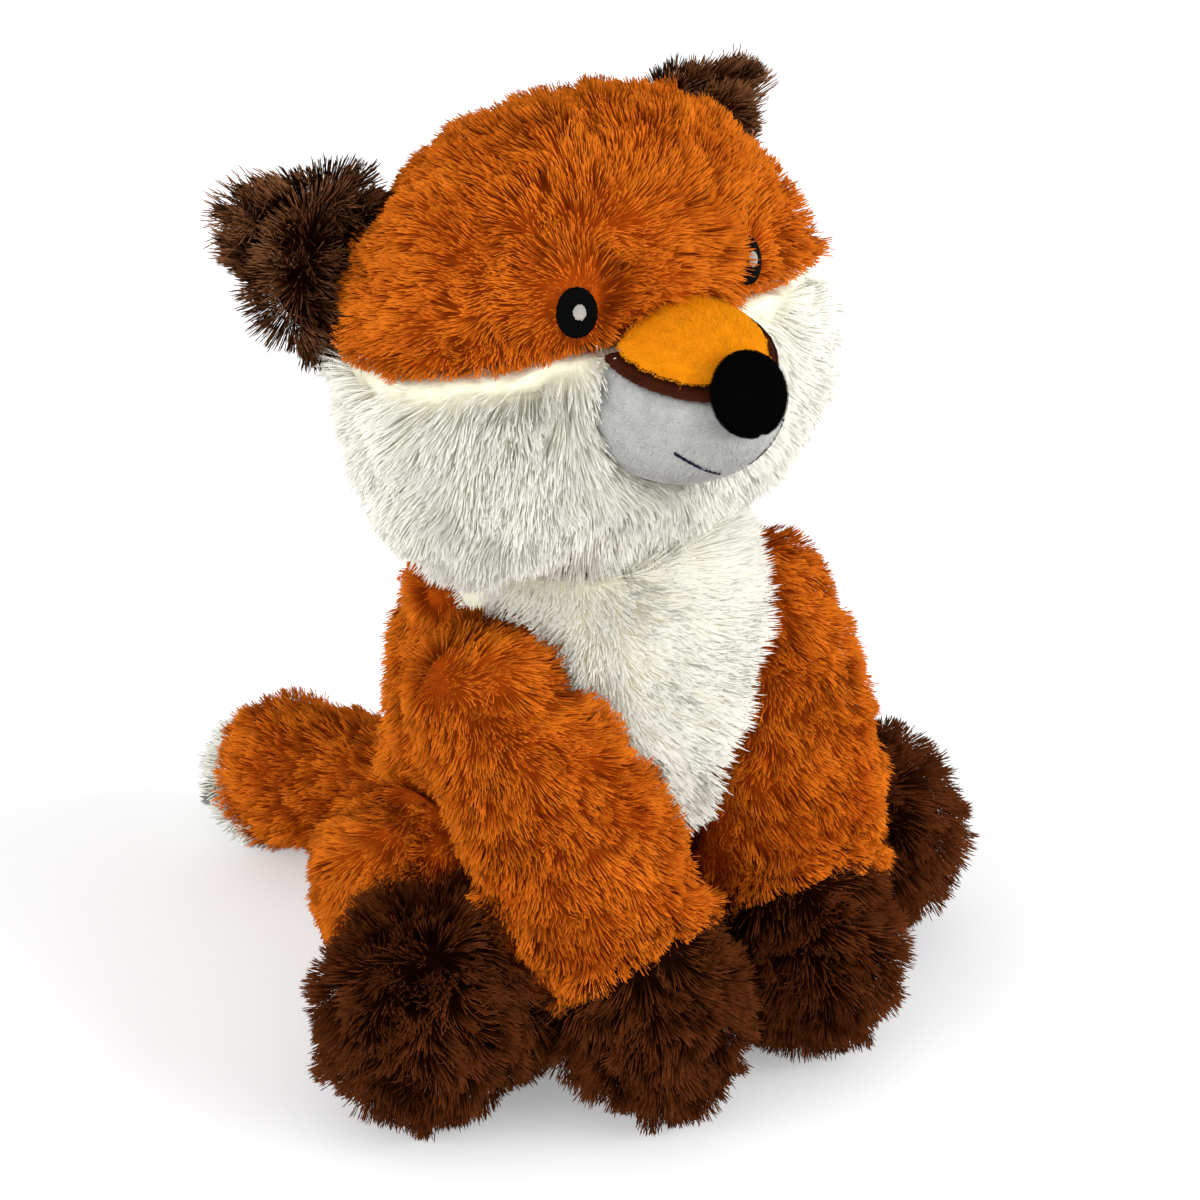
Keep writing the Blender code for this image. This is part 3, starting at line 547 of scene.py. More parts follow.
def stuff(skins, cap, frames=20):
    """Blows the skins up with stuffing, by a cloth simulation, and keeps each inside its CAD solid."""
    before = {skin: places_of(skin.data) for skin in skins}
    scene = bpy.context.scene
    for skin in skins:
        cloth = skin.modifiers.new("stuffing", "CLOTH")
        cloth.settings.use_pressure = True
        cloth.settings.uniform_pressure_force = 4.0
        cloth.settings.effector_weights.gravity = 0.0
        cloth.point_cache.frame_start = 1
        cloth.point_cache.frame_end = frames
    for number in range(1, frames + 1):
        scene.frame_set(number)
    for skin in skins:
        apply_modifiers(skin)
    scene.frame_set(1)
    for skin in skins:
        start = before[skin]
        move = places_of(skin.data) - start
        far = np.linalg.norm(move, axis=1, keepdims=True)
        shaped = start + move * np.minimum(1.0, cap / np.maximum(far, 1e-9))
        solid = tree_of([skin.name.removesuffix("_skin")])
        for number, place in enumerate(shaped):
            near, facing, _, _ = solid.find_nearest(Vector(place))
            if (Vector(place) - near).dot(facing) > -0.3 * MM:
                shaped[number] = near - facing * (0.3 * MM)
        skin.data.vertices.foreach_set("co", shaped.astype(np.float32).ravel())
        skin.data.update()


def finish_skin(skin, body, material):
    """Gives a stuffed skin its fabric and its place in the fox."""
    node = skin.name.removesuffix("_skin")
    skin.data.materials.clear()
    skin.data.materials.append(material)
    shade_smooth(skin)
    rounder = skin.modifiers.new("rounder", "SUBSURF")
    rounder.levels = 1
    rounder.render_levels = 1
    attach(skin, body)
    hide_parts(node)


def prepare_growth(skin, comb_of, length_of=None, lying_of=None, shortest=0.4, bare_below=-0.05):
    """Writes on a skin which way its pile lies and how flat, and how long and dense it is.

    shortest is the share of its length that pile keeps in a hidden place, and no pile grows where a place
    is less open than bare_below."""
    mesh = skin.data
    combs, normals, lengths = [], [], []
    open_shares = fetch(mesh, "open_share")
    for vertex, open_share in zip(mesh.vertices, open_shares):
        normal = vertex.normal
        comb = comb_of(vertex.co)
        comb = comb - normal * comb.dot(normal)
        comb = comb.normalized() * min(1.0, comb.length * 3.0)
        if lying_of:
            comb *= lying_of(vertex.co)
        share = shortest + (1.0 - shortest) * min(1.0, open_share * 1.4)
        if length_of:
            share *= length_of(vertex.co)
        combs.append(comb)
        normals.append(normal)
        lengths.append(share)
    store(mesh, "comb", "FLOAT_VECTOR", combs)
    store(mesh, "skin_normal", "FLOAT_VECTOR", normals)
    store(mesh, "length_share", "FLOAT", lengths)
    store(mesh, "density_share", "FLOAT", np.clip((open_shares - bare_below) * 7.0, 0.0, 1.0))


def strand_mesh():
    """One strand a metre tall: it widens from its root to a slanting cut, with its height written on it."""
    piece = bpy.data.objects.get("strand")
    if piece:
        return piece
    slant = 0.12
    mesh = bmesh.new()
    bmesh.ops.create_cone(
        mesh, cap_ends=True, segments=3, radius1=0.0, radius2=1.0, depth=1.0,
        matrix=Matrix.Translation((0.0, 0.0, 0.5)),
    )
    bmesh.ops.remove_doubles(mesh, verts=mesh.verts, dist=0.001)
    for vertex in mesh.verts:
        if vertex.co.z > 0.5:
            vertex.co.z -= slant * (0.5 - 0.5 * vertex.co.y)
    bmesh.ops.recalc_face_normals(mesh, faces=mesh.faces)
    piece = new_piece("strand", mesh)
    data = piece.data
    heights = [vertex.co.z for vertex in data.vertices]
    sides = [0.5 + math.atan2(vertex.co.y, vertex.co.x) / math.tau for vertex in data.vertices]
    sides = [side if height > 0.1 else 0.5 for side, height in zip(sides, heights)]
    store(data, "height", "FLOAT", heights)
    store(data, "side", "FLOAT", sides)
    return piece


def grow(skin, name, body, pile, material, keep=None):
    """Grows one piece of pile on a skin. keep says which share of it grows at a place."""
    mesh = skin.data.copy()
    if keep:
        density = fetch(mesh, "density_share")
        density = [share * keep(vertex.co) for share, vertex in zip(density, mesh.vertices)]
        store(mesh, "density_share", "FLOAT", density)
    piece = new_piece(name, mesh)
    grower = piece.modifiers.new("pile", "NODES")
    grower.node_group = combed_pile_tree()
    values = {
        "Strand": strand_mesh(), "Material": material, "Length": pile.length, "Spacing": pile.spacing,
        "Width": pile.width, "Raised": pile.raised, "Clump": pile.clump, "Clump spacing": pile.clump_spacing,
        "Wander": pile.wander, "Soft": pile.soft, "Rounded": pile.rounded,
        "Seed": bpy.context.scene.fox_pile.seed + sum(map(ord, name)),
    }
    for socket in grower.node_group.interface.items_tree:
        if socket.in_out == "INPUT" and socket.name in values:
            grower[socket.identifier] = values[socket.name]
    apply_modifiers(piece)
    for extra in GROWTH_ATTRIBUTES:
        layer = piece.data.attributes.get(extra)
        if layer:
            piece.data.attributes.remove(layer)
    if not piece.data.polygons:
        raise RuntimeError(f"{name} has no pile")
    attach(piece, body)
    return piece


def pile_colour_group():
    """The colour of a strand: from root to tip, darker towards the root as painted shade deep in the coat,
    each strand its own tone, with soft patches over the fox.
    """
    tree = bpy.data.node_groups.get("Pile colour")
    if tree:
        return tree
    tree = bpy.data.node_groups.new("Pile colour", "ShaderNodeTree")
    for name in ("Root", "Middle", "Tip"):
        tree.interface.new_socket(name=name, in_out="INPUT", socket_type="NodeSocketColor")
    for name in ("Variation", "Patches"):
        tree.interface.new_socket(name=name, in_out="INPUT", socket_type="NodeSocketFloat")
    tree.interface.new_socket(name="Colour", in_out="OUTPUT", socket_type="NodeSocketColor")
    graph = Graph(tree)
    given = graph.add("NodeGroupInput").outputs
    height = graph.add("ShaderNodeAttribute", attribute_name="height").outputs["Fac"]
    tone = graph.add("ShaderNodeAttribute", attribute_name="tone").outputs["Fac"]
    place = graph.add("ShaderNodeTexCoord").outputs["Object"]
    patches = graph.add("ShaderNodeTexNoise", {"Vector": place, "Scale": 60.0, "Detail": 3.0}).outputs["Fac"]
    patches = graph.number("MULTIPLY", graph.number("SUBTRACT", patches, 0.5), given["Patches"])
    own = graph.number("MULTIPLY", graph.number("SUBTRACT", tone, 0.5), given["Variation"])
    shifted = graph.number("ADD", height, graph.number("ADD", patches, own))
    # Ramp from the root colour, which paints shade deep in the coat, to the tip colour.
    lower = graph.add("ShaderNodeMapRange", {"Value": shifted, "From Min": 0.05, "From Max": 0.5})
    upper = graph.add("ShaderNodeMapRange", {"Value": shifted, "From Min": 0.5, "From Max": 1.0})
    first = graph.add(
        "ShaderNodeMix", {0: lower.outputs[0], 6: given["Root"], 7: given["Middle"]}, data_type="RGBA"
    ).outputs[2]
    second = graph.add(
        "ShaderNodeMix", {0: upper.outputs[0], 6: first, 7: given["Tip"]}, data_type="RGBA"
    ).outputs[2]
    graph.add("NodeGroupOutput", {"Colour": second})
    return tree


def colour_of(value):
    return (value[0], value[1], value[2], 1.0)


def pile_material(name, root, middle, tip, variation=0.3, patches=1.1):
    material = bpy.data.materials.get(name)
    if material:
        return material
    material = bpy.data.materials.new(name)
    material.use_nodes = True
    graph = Graph(material.node_tree)
    shader = material.node_tree.nodes["Principled BSDF"]
    inputs = {
        "Root": colour_of(root), "Middle": colour_of(middle), "Tip": colour_of(tip),
        "Variation": variation, "Patches": patches,
    }
    group = material.node_tree.nodes.new("ShaderNodeGroup")
    group.node_tree = pile_colour_group()
    for socket, value in inputs.items():
        group.inputs[socket].default_value = value
    material.node_tree.links.new(group.outputs["Colour"], shader.inputs["Base Color"])
    shader.inputs["Roughness"].default_value = 0.9
    shader.inputs["Specular IOR Level"].default_value = 0.0
    return material


def backing_group():
    """The knitted backing under the pile: its colour, mottled, and the height of its small loops."""
    tree = bpy.data.node_groups.get("Knitted backing")
    if tree:
        return tree
    tree = bpy.data.node_groups.new("Knitted backing", "ShaderNodeTree")
    tree.interface.new_socket(name="Colour", in_out="INPUT", socket_type="NodeSocketColor")
    tree.interface.new_socket(name="Loop scale", in_out="INPUT", socket_type="NodeSocketFloat")
    tree.interface.new_socket(name="Mottled", in_out="OUTPUT", socket_type="NodeSocketColor")
    tree.interface.new_socket(name="Loops", in_out="OUTPUT", socket_type="NodeSocketFloat")
    graph = Graph(tree)
    given = graph.add("NodeGroupInput").outputs
    place = graph.add("ShaderNodeTexCoord").outputs["Object"]
    loops = graph.add("ShaderNodeTexVoronoi", {"Vector": place, "Scale": given["Loop scale"]})
    loops = loops.outputs["Distance"]
    mottle = graph.add("ShaderNodeTexNoise", {"Vector": place, "Scale": 240.0, "Detail": 3.0}).outputs["Fac"]
    shade = graph.add("ShaderNodeMapRange", {"Value": mottle, "To Min": 0.6, "To Max": 1.35}).outputs[0]
    mixed = graph.scaled(given["Colour"], shade)
    graph.add("NodeGroupOutput", {"Mottled": mixed, "Loops": loops})
    return tree


def backing_material(name, colour, loop_scale=900.0, strength=0.4, roughness=0.85, specular=0.0):
    material = bpy.data.materials.get(name)
    if material:
        return material
    material = bpy.data.materials.new(name)
    material.use_nodes = True
    tree = material.node_tree
    shader = tree.nodes["Principled BSDF"]
    group = tree.nodes.new("ShaderNodeGroup")
    group.node_tree = backing_group()
    group.inputs["Colour"].default_value = colour_of(colour)
    group.inputs["Loop scale"].default_value = loop_scale
    bump = tree.nodes.new("ShaderNodeBump")
    bump.inputs["Strength"].default_value = strength
    bump.inputs["Distance"].default_value = 0.3 * MM
    tree.links.new(group.outputs["Loops"], bump.inputs["Height"])
    tree.links.new(bump.outputs["Normal"], shader.inputs["Normal"])
    tree.links.new(group.outputs["Mottled"], shader.inputs["Base Color"])
    shader.inputs["Roughness"].default_value = roughness
    shader.inputs["Specular IOR Level"].default_value = specular
    return material


# Each backing takes the root or middle colour of its pile, darker than the tips, as painted shade between the
# strands.
def orange_materials():
    colours = bpy.context.scene.fox_colours
    pile = pile_material("orange_pile", colours.orange_root, colours.orange_middle, colours.orange_tip)
    return pile, backing_material("orange_backing", colours.orange_middle)


def white_materials():
    colours = bpy.context.scene.fox_colours
    pile = pile_material(
        "white_pile", colours.white_root, colours.white_middle, colours.white_tip,
        variation=0.2, patches=0.4,
    )
    return pile, backing_material("white_backing", colours.white_root)


def brown_materials():
    colours = bpy.context.scene.fox_colours
    pile = pile_material("brown_pile", colours.brown_root, colours.brown_middle, colours.brown_tip)
    return pile, backing_material("brown_backing", colours.brown_root)


def ear_materials():
    colours = bpy.context.scene.fox_colours
    pile = pile_material("ear_pile", colours.brown_root, colours.brown_middle, colours.ear_tip)
    return pile, backing_material("brown_backing", colours.brown_root)


def plain_thread_material(name, colour, loop_scale, strength=0.6):
    return backing_material(name, colour, loop_scale, strength, roughness=0.7, specular=0.02)


def away_from(point, drop=0.0):
    """Pile that lies away from a point, and falls by a share."""
    return lambda place: (place - point).normalized() + Vector((0.0, 0.0, -drop))


def along(direction):
    """Pile that lies all one way."""
    way = Vector(direction).normalized()
    return lambda place: way


def distance_to(nodes):
    """How far a place is from the nearest of these CAD nodes."""
    solids = tree_of(nodes)
    return lambda place: solids.find_nearest(place)[3]


def fuller_by(nodes, reach, more):
    """The share of its length that pile has near these CAD nodes, to fill the gap up to them."""
    solids = tree_of(nodes)
    return lambda place: 1.0 + more * max(0.0, 1.0 - solids.find_nearest(place)[3] / reach)


def leaning_to(nodes, reach):
    """Pile that leans over these CAD nodes: the way to them, less and less up to the reach."""
    solids = tree_of(nodes)

    def lean(place):
        near, _, _, far = solids.find_nearest(place)
        return (near - place).normalized() * max(0.0, 1.0 - far / reach)

    return lean


def middle_of(node):
    low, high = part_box(node)
    return (low + high) * 0.5


def instep(paw):
    """A place inside a paw's top, near the ankle, from which its pile lies outward and down."""
    low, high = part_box(paw)
    return Vector((
        0.5 * (low.x + high.x), low.y + 0.6 * (high.y - low.y), low.z + 0.85 * (high.z - low.z)
    ))


def stuffed(nodes, depth, voxel, cap=3.0 * MM, smooth=0.4, gather=None, depth_share=None):
    """The stuffed skins of several nodes, by the node's name."""
    skins = {node: skin_of(node, depth, voxel, smooth, gather, depth_share) for node in nodes}
    stuff(list(skins.values()), cap)
    return skins


def way_back(turned, raised):
    """The way from the fox to a lamp or the camera, turned about the fox and raised above the floor."""
    return Vector((
        math.sin(turned) * math.cos(raised), -math.cos(turned) * math.cos(raised), math.sin(raised)
    ))


def half_keeper(sign):
    """Keeps the pile of one side of the fox, so that no piece of pile is too large."""
    return lambda place: 1.0 if place.x * sign >= 0.0 else 0.0


class FOX_OT_stage(bpy.types.Operator):
    """Makes the floor, the lights and the camera"""

    bl_idname = "fox.stage"
    bl_label = "Studio"

    def execute(self, context):
        settings = context.scene.fox_stage
        floor_mesh = bmesh.new()
        bmesh.ops.create_grid(floor_mesh, x_segments=1, y_segments=1, size=6.0)
        floor = new_piece("studio_floor", floor_mesh)
        material = bpy.data.materials.new("studio_floor")
        material.use_nodes = True
        graph = Graph(material.node_tree)
        shader = material.node_tree.nodes["Principled BSDF"]
        shader.inputs["Base Color"].default_value = colour_of(settings.floor)
        shader.inputs["Roughness"].default_value = 0.9
        shader.inputs["Specular IOR Level"].default_value = 0.0
        path = graph.add("ShaderNodeLightPath").outputs
        seen = graph.number("MAXIMUM", path["Is Camera Ray"], path["Is Glossy Ray"])
        seen = graph.number("MAXIMUM", seen, path["Is Transmission Ray"])
        shader.inputs["Emission Color"].default_value = (1.0, 1.0, 1.0, 1.0)
        glow = graph.number("MULTIPLY", seen, 0.3)
        material.node_tree.links.new(glow, shader.inputs["Emission Strength"])
        floor.data.materials.append(material)

        world = bpy.data.worlds.new("studio")
        context.scene.world = world
        world.use_nodes = True
        graph = Graph(world.node_tree)
        light = world.node_tree.nodes["Background"]
        light.inputs["Color"].default_value = (1.0, 1.0, 1.0, 1.0)
        path = graph.add("ShaderNodeLightPath").outputs
        seen = graph.number("MAXIMUM", path["Is Camera Ray"], path["Is Glossy Ray"])
        shown = {"Value": seen, "To Min": settings.fill_strength, "To Max": 1.0}
        strength = graph.add("ShaderNodeMapRange", shown)
        world.node_tree.links.new(strength.outputs[0], light.inputs["Strength"])

        for name, strength, turned, raised, soft in (
            ("key_light", settings.key_strength, 32.0, 15.0, 50.0),
            ("rim_light", settings.rim_strength, -88.0, 13.0, 50.0),
        ):
            lamp = bpy.data.lights.new(name, "SUN")
            lamp.energy = strength
            lamp.angle = math.radians(soft)
            lamp_object = bpy.data.objects.new(name, lamp)
            back = way_back(math.radians(turned), math.radians(raised))
            lamp_object.rotation_mode = "QUATERNION"
            lamp_object.rotation_quaternion = (-back).to_track_quat("-Z", "Y")
            context.scene.collection.objects.link(lamp_object)

        back = way_back(settings.turned, settings.raised)
        right = Vector((math.cos(settings.turned), math.sin(settings.turned), 0.0))
        up = back.cross(right)
        aim = right * settings.aim_right + up * settings.aim_up - Vector((0.0, settings.aim_forward, 0.0))
        camera_data = bpy.data.cameras.new("camera")
        camera_data.lens = settings.lens
        camera_data.sensor_width = 36.0
        camera_data.clip_start = 0.05
        camera_data.clip_end = 30.0
        camera = bpy.data.objects.new("camera", camera_data)
        camera.location = aim + back * settings.distance
        camera.rotation_mode = "QUATERNION"
        camera.rotation_quaternion = (-back).to_track_quat("-Z", "Y")
        context.scene.collection.objects.link(camera)
        context.scene.camera = camera
        context.scene.view_settings.view_transform = "Standard"
        return {"FINISHED"}


class FOX_OT_body(bpy.types.Operator):
    """Makes the body, the bib and the neck"""

    bl_idname = "fox.body"
    bl_label = "Body and bib"

    def execute(self, context):
        pile, backing = orange_materials()
        white, white_backing = white_materials()
        skins = stuffed(["torso"], 6.0 * MM, 3.6 * MM)
        skins.update(stuffed(["neck"], 3.0 * MM, 3.0 * MM, 1.5 * MM))
        skins.update(stuffed(["chest_bib"], 2.0 * MM, 2.2 * MM, 1.0 * MM))
        torso = skins["torso"]
        prepare_growth(torso, along((0.0, 0.1, -1.0)))
        for side, sign in SIDES.items():
            torso_pile = replace(orange_pile(), spacing=1.12 * orange_pile().spacing)
            grow(torso, f"torso_pile_{side}", "torso", torso_pile, pile, half_keeper(sign))
        neck = skins["neck"]
        prepare_growth(neck, along((0.0, 0.0, -1.0)))
        grow(neck, "neck_pile", "neck", orange_pile(), pile)
        bib = skins["chest_bib"]
        bib_pile = replace(white_pile(), raised=0.6)
        to_ruff = distance_to(["cheek_ruff"])

        def bib_comb(place):
            return Vector((BIB_LEAN + 1.1 * place.x / BIB_HALF_WIDTH, -0.1, -0.8))

        def bib_length(place):
            return 1.1 + 0.6 * max(-1.0, min(1.0, place.x / BIB_CHANGE_REACH))

        def bib_lying(place):
            brushed = 0.2 if place.x > 0.0 else 0.2 + 0.5 * min(1.0, -place.x / BIB_CHANGE_REACH)
            return min(brushed, 0.2 + to_ruff(place) / BIB_CHANGE_REACH)

        prepare_growth(bib, bib_comb, bib_length, bib_lying, shortest=0.6)
        grow(bib, "chest_bib_pile", "torso", bib_pile, white)
        finish_skin(torso, "torso", backing)
        finish_skin(neck, "neck", backing)
        finish_skin(bib, "torso", white_backing)
        return {"FINISHED"}


class FOX_OT_head(bpy.types.Operator):
    """Makes the crown of the head and the white ruff of the cheeks"""

    bl_idname = "fox.head"
    bl_label = "Head and ruff"

    def execute(self, context):
        pile, backing = orange_materials()
        white, white_backing = white_materials()
        to_face = distance_to(["eye_left", "eye_right", "muzzle_top", "muzzle_bottom"])
        to_crown = distance_to(["head_crown"])
        to_ruff = distance_to(["cheek_ruff"])
        to_ears = distance_to(["ear_left", "ear_right"])
        onto_muzzle = leaning_to(["muzzle_top", "muzzle_bottom"], 11.0 * MM)
        onto_crown = leaning_to(["head_crown"], 9.0 * MM)

        def near_face(place):
            return min(1.0, 0.45 + to_face(place) / FACE_FUR_REACH)

        skins = stuffed(["head_crown"], 6.0 * MM, 3.6 * MM, depth_share=near_face)
        skins.update(stuffed(["cheek_ruff"], 7.0 * MM, 3.6 * MM, depth_share=near_face))
        crown = skins["head_crown"]
        eyes = [middle_of("eye_left"), middle_of("eye_right")]

        def between_eyes(place):
            """How much a place belongs to the bridge between the eyes, with its pile brushed aside."""
            beside = max(0.0, 1.0 - abs(place.x) / BRIDGE_HALF_WIDTH)
            level = max(0.0, 1.0 - abs(place.z - eyes[0].z) / BRIDGE_HALF_WIDTH)
            return min(1.0, 3.0 * beside * level)

        def crown_comb(place):
            comb = (place - FACE_POINT).normalized() + Vector((0.0, 0.0, -0.25))
            for eye in eyes:
                off = place - eye
                comb += off.normalized() * 0.6 * max(0.0, 1.0 - off.length / EYE_FUR_REACH)
            comb = comb.lerp(Vector((1.0, -0.2, 0.1)), between_eyes(place))
            comb += onto_muzzle(place) * 3.0
            return comb + Vector((0.0, 0.0, -3.0)) * max(0.0, 1.0 - to_ruff(place) / (14.0 * MM))

        def crown_length(place):
            share = min(1.0, 0.4 + to_ears(place) / (28.0 * MM))
            for eye in eyes:
                far = (place - eye).length
                share = min(share, 0.65 + max(0.0, far - 7.0 * MM) / EYE_FUR_REACH)
            beyond = min(1.0, max(0.0, place.x / (10.0 * MM)))
            return max(share, (1.2 + 0.45 * beyond) * between_eyes(place))

        def crown_lying(place):
            by_ears = 1.0 + 0.8 * max(0.0, 1.0 - to_ears(place) / (20.0 * MM))
            upright = 0.6 * between_eyes(place) if place.x < 0.0 else 0.0
            return by_ears * (1.0 - upright)

        def ruff_comb(place):
            comb = (place - FACE_POINT).normalized() + Vector((0.0, 0.0, -0.9))
            return comb + onto_muzzle(place) * 5.0 + onto_crown(place)

        def ruff_lying(place):
            return min(1.0, 0.5 + to_crown(place) / (18.0 * MM))

        def ruff_length(place):
            lower = min(1.0, max(0.0, (RUFF_LONG_BELOW - place.z) / (20.0 * MM)))
            chin = max(0.0, 1.0 - abs(place.x) / CHIN_HALF_WIDTH)
            return 1.0 + 0.6 * lower * chin

        prepare_growth(crown, crown_comb, crown_length, crown_lying)
        for side, sign in SIDES.items():
            half = half_keeper(sign)
            grow(crown, f"head_crown_pile_{side}", "head", orange_pile(), pile, half)
        ruff = skins["cheek_ruff"]
        prepare_growth(ruff, ruff_comb, ruff_length, ruff_lying, shortest=0.7, bare_below=0.02)
        for side, sign in SIDES.items():
            half = half_keeper(sign)
            grow(ruff, f"cheek_ruff_pile_{side}", "head", white_pile(), white, half)
        finish_skin(crown, "head", backing)
        finish_skin(ruff, "head", white_backing)
        return {"FINISHED"}


class FOX_OT_muzzle(bpy.types.Operator):
    """Makes the two halves of the muzzle, the stripe between them and the smile"""

    bl_idname = "fox.muzzle"
    bl_label = "Muzzle"

    def execute(self, context):
        colours = context.scene.fox_colours
        # Shaded copies of the gold and grey colour the roots as painted shade deep in the pile; lit copies
        # colour the tips as painted light.
        lit_gold = [min(1.0, value * 1.25) for value in colours.gold]
        shaded_gold = [value * 0.55 for value in colours.gold]
        lit_grey = [min(1.0, value * 1.2) for value in colours.grey]
        shaded_grey = [value * 0.6 for value in colours.grey]
        kinds = (
            ("muzzle_top", pile_material("gold_pile", shaded_gold, colours.gold, lit_gold, 0.7, 0.25),
             backing_material("gold_backing", colours.gold)),
            ("muzzle_bottom", pile_material("grey_pile", shaded_grey, colours.grey, lit_grey, 0.7, 0.1),
             backing_material("grey_backing", colours.grey)),
        )
        onto_stripe = leaning_to(["lip_stripe"], 4.0 * MM)

        def muzzle_comb(place):
            return (place - MUZZLE_POINT).normalized() + onto_stripe(place) * 4.0

        for node, pile, backing in kinds:
            skin = stuffed([node], 0.5 * MM, 1.1 * MM, 0.4 * MM, 0.12)[node]
            prepare_growth(skin, muzzle_comb)
            grow(skin, node + "_pile", "head", short_pile(), pile)
            finish_skin(skin, "head", backing)
        self.sew_stripe(colours)
        self.sew_smile(colours)
        return {"FINISHED"}

    def sew_stripe(self, colours):
        """The stripe: satin stitches laid side by side along its middle line."""
        stripe = merged("lip_stripe")
        places = np.array([vertex.co for vertex in stripe.verts])
        middle = 0.5 * (places.min(axis=0) + places.max(axis=0))
        tilts = [math.radians(0.5 * step) for step in range(-90, 91)]
        ways = [Vector((0.0, -math.sin(tilt), math.cos(tilt))) for tilt in tilts]
        across = min(ways, key=lambda way: np.ptp(places @ np.array(way)))
        height = places @ np.array(across)
        off_middle = 0.5 * (height.min() + height.max()) - middle @ np.array(across)
        middle = middle + np.array(across) * off_middle
        solid = BVHTree.FromBMesh(stripe)
        stripe.free()
        mesh = bmesh.new()
        centre = Vector(middle)
        forward = Vector((1.0, 0.0, 0.0)).cross(across)
        forward = forward if forward.y < 0.0 else -forward
        hub = centre - forward * (8.0 * MM)
        previous = None
        for step in range(STRIPE_STEPS + 1):
            angle = math.radians(-0.5 * STRIPE_TURN + step * STRIPE_TURN / STRIPE_STEPS)
            way = forward * math.cos(angle) + Vector((1.0, 0.0, 0.0)) * math.sin(angle)
            hit, facing, _, _ = solid.ray_cast(hub + way * 0.08, -way)
            if hit is None or facing.dot(way) < 0.1:
                continue
            if previous and (hit - previous).length < STITCH_SPACING:
                continue
            previous = hit
            out = (facing - across * facing.dot(across)).normalized()
            side = across.cross(out)
            number = len(mesh.verts)
            longer = 0.8 * MM + 0.08 * MM * math.sin(number * 1.7)
            turned = Matrix((side, out, across)).transposed().to_4x4()
            size = Matrix.Diagonal((0.3 * MM, 0.34 * MM, longer, 1.0))
            place = Matrix.Translation(hit - out * STITCH_DEPTH)
            bmesh.ops.create_icosphere(mesh, subdivisions=1, radius=1.0, matrix=place @ turned @ size)
        if not mesh.verts:
            raise RuntimeError("the stripe has no stitches")
        base = len(mesh.verts)
        mesh.from_mesh(self.stripe_base())
        mesh.verts.ensure_lookup_table()
        for vertex in mesh.verts[base:]:
            off = (vertex.co - centre).dot(across)
            vertex.co -= across * (off * (1.0 - STRIPE_SHARE))
        piece = new_piece("lip_stripe_stitches", mesh)
        shade_smooth(piece)
        piece.data.materials.append(plain_thread_material("stripe_thread", colours.stitch, 1800.0))
        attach(piece, "head")
        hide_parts("lip_stripe")

    def stripe_base(self):
        """The stripe's own form in an even mesh, which the stitches lie on."""
        base = new_piece("lip_stripe_base", merged("lip_stripe"))
        even_mesh(base, 0.5 * MM)
        shaped = base.data
        bpy.data.objects.remove(base)
        return shaped

    def sew_smile(self, colours):
        """The smile: a thread in short stitches on each side of the muzzle's bottom."""
        tree = tree_of(["muzzle_bottom"])
        for side, sign in SIDES.items():
            mesh = bmesh.new()
            ends = []
            for step in range(SMILE_STITCHES + 1):
                share = step / SMILE_STITCHES
                place = SMILE_START.lerp(SMILE_END, share)
                place.z -= SMILE_SAG * 4.0 * share * (1.0 - share)
                place.x *= sign
                hit, facing, _, _ = tree.ray_cast(place + Vector((0.0, -0.03, 0.0)), Vector((0.0, 1.0, 0.0)))
                if hit is None:
                    raise RuntimeError("the smile misses the muzzle")
                ends.append((hit, facing))
            for (first, facing), (last, _) in zip(ends, ends[1:]):
                way = (last - first).normalized()
                out = (facing - way * facing.dot(way)).normalized()
                turned = Matrix((way, way.cross(out), out)).transposed().to_4x4()
                size = Matrix.Diagonal((0.62 * (last - first).length, 0.5 * MM, 0.45 * MM, 1.0))
                place = Matrix.Translation((first + last) * 0.5 + out * (0.1 * MM))
                bmesh.ops.create_icosphere(mesh, subdivisions=2, radius=1.0, matrix=place @ turned @ size)
            piece = new_piece(f"smile_{side}", mesh)
            shade_smooth(piece)
            piece.data.materials.append(plain_thread_material("smile_thread", colours.thread, 2500.0))
            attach(piece, "head")


class FOX_OT_face(bpy.types.Operator):
    """Makes the nose and the embroidered eyes"""

    bl_idname = "fox.face"
    bl_label = "Nose and eyes"

    def execute(self, context):
        colours = context.scene.fox_colours
        black = colours.black
        # A lighter copy of the black colours the tips as painted light; the roots keep the black.
        lighter = [value * 2.2 for value in black]
        pile = pile_material("black_pile", black, black, lighter, 0.4, 0.3)
        backing = backing_material("black_backing", black)
        skin = stuffed(["nose"], 0.4 * MM, 0.5 * MM, 0.3 * MM, 0.05)["nose"]
        prepare_growth(skin, away_from(middle_of("nose") + Vector((0.0, -0.01, 0.004))))
        nose_pile = replace(short_pile(), length=0.5 * short_pile().length)
        grow(skin, "nose_pile", "head", nose_pile, pile)
        finish_skin(skin, "head", backing)
        for side in SIDES:
            for node, material in (
                (f"eye_{side}", plain_thread_material("eye_thread", black, 1500.0)),
                (f"eye_glint_{side}", plain_thread_material("glint_thread", colours.glint, 1500.0)),
            ):
                piece = new_piece(node + "_stitches", merged(node))
                even_mesh(piece, 0.3 * MM)
                piece.data.materials.clear()
                piece.data.materials.append(material)
                shade_smooth(piece)
                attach(piece, "head")
                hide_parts(node)
        return {"FINISHED"}


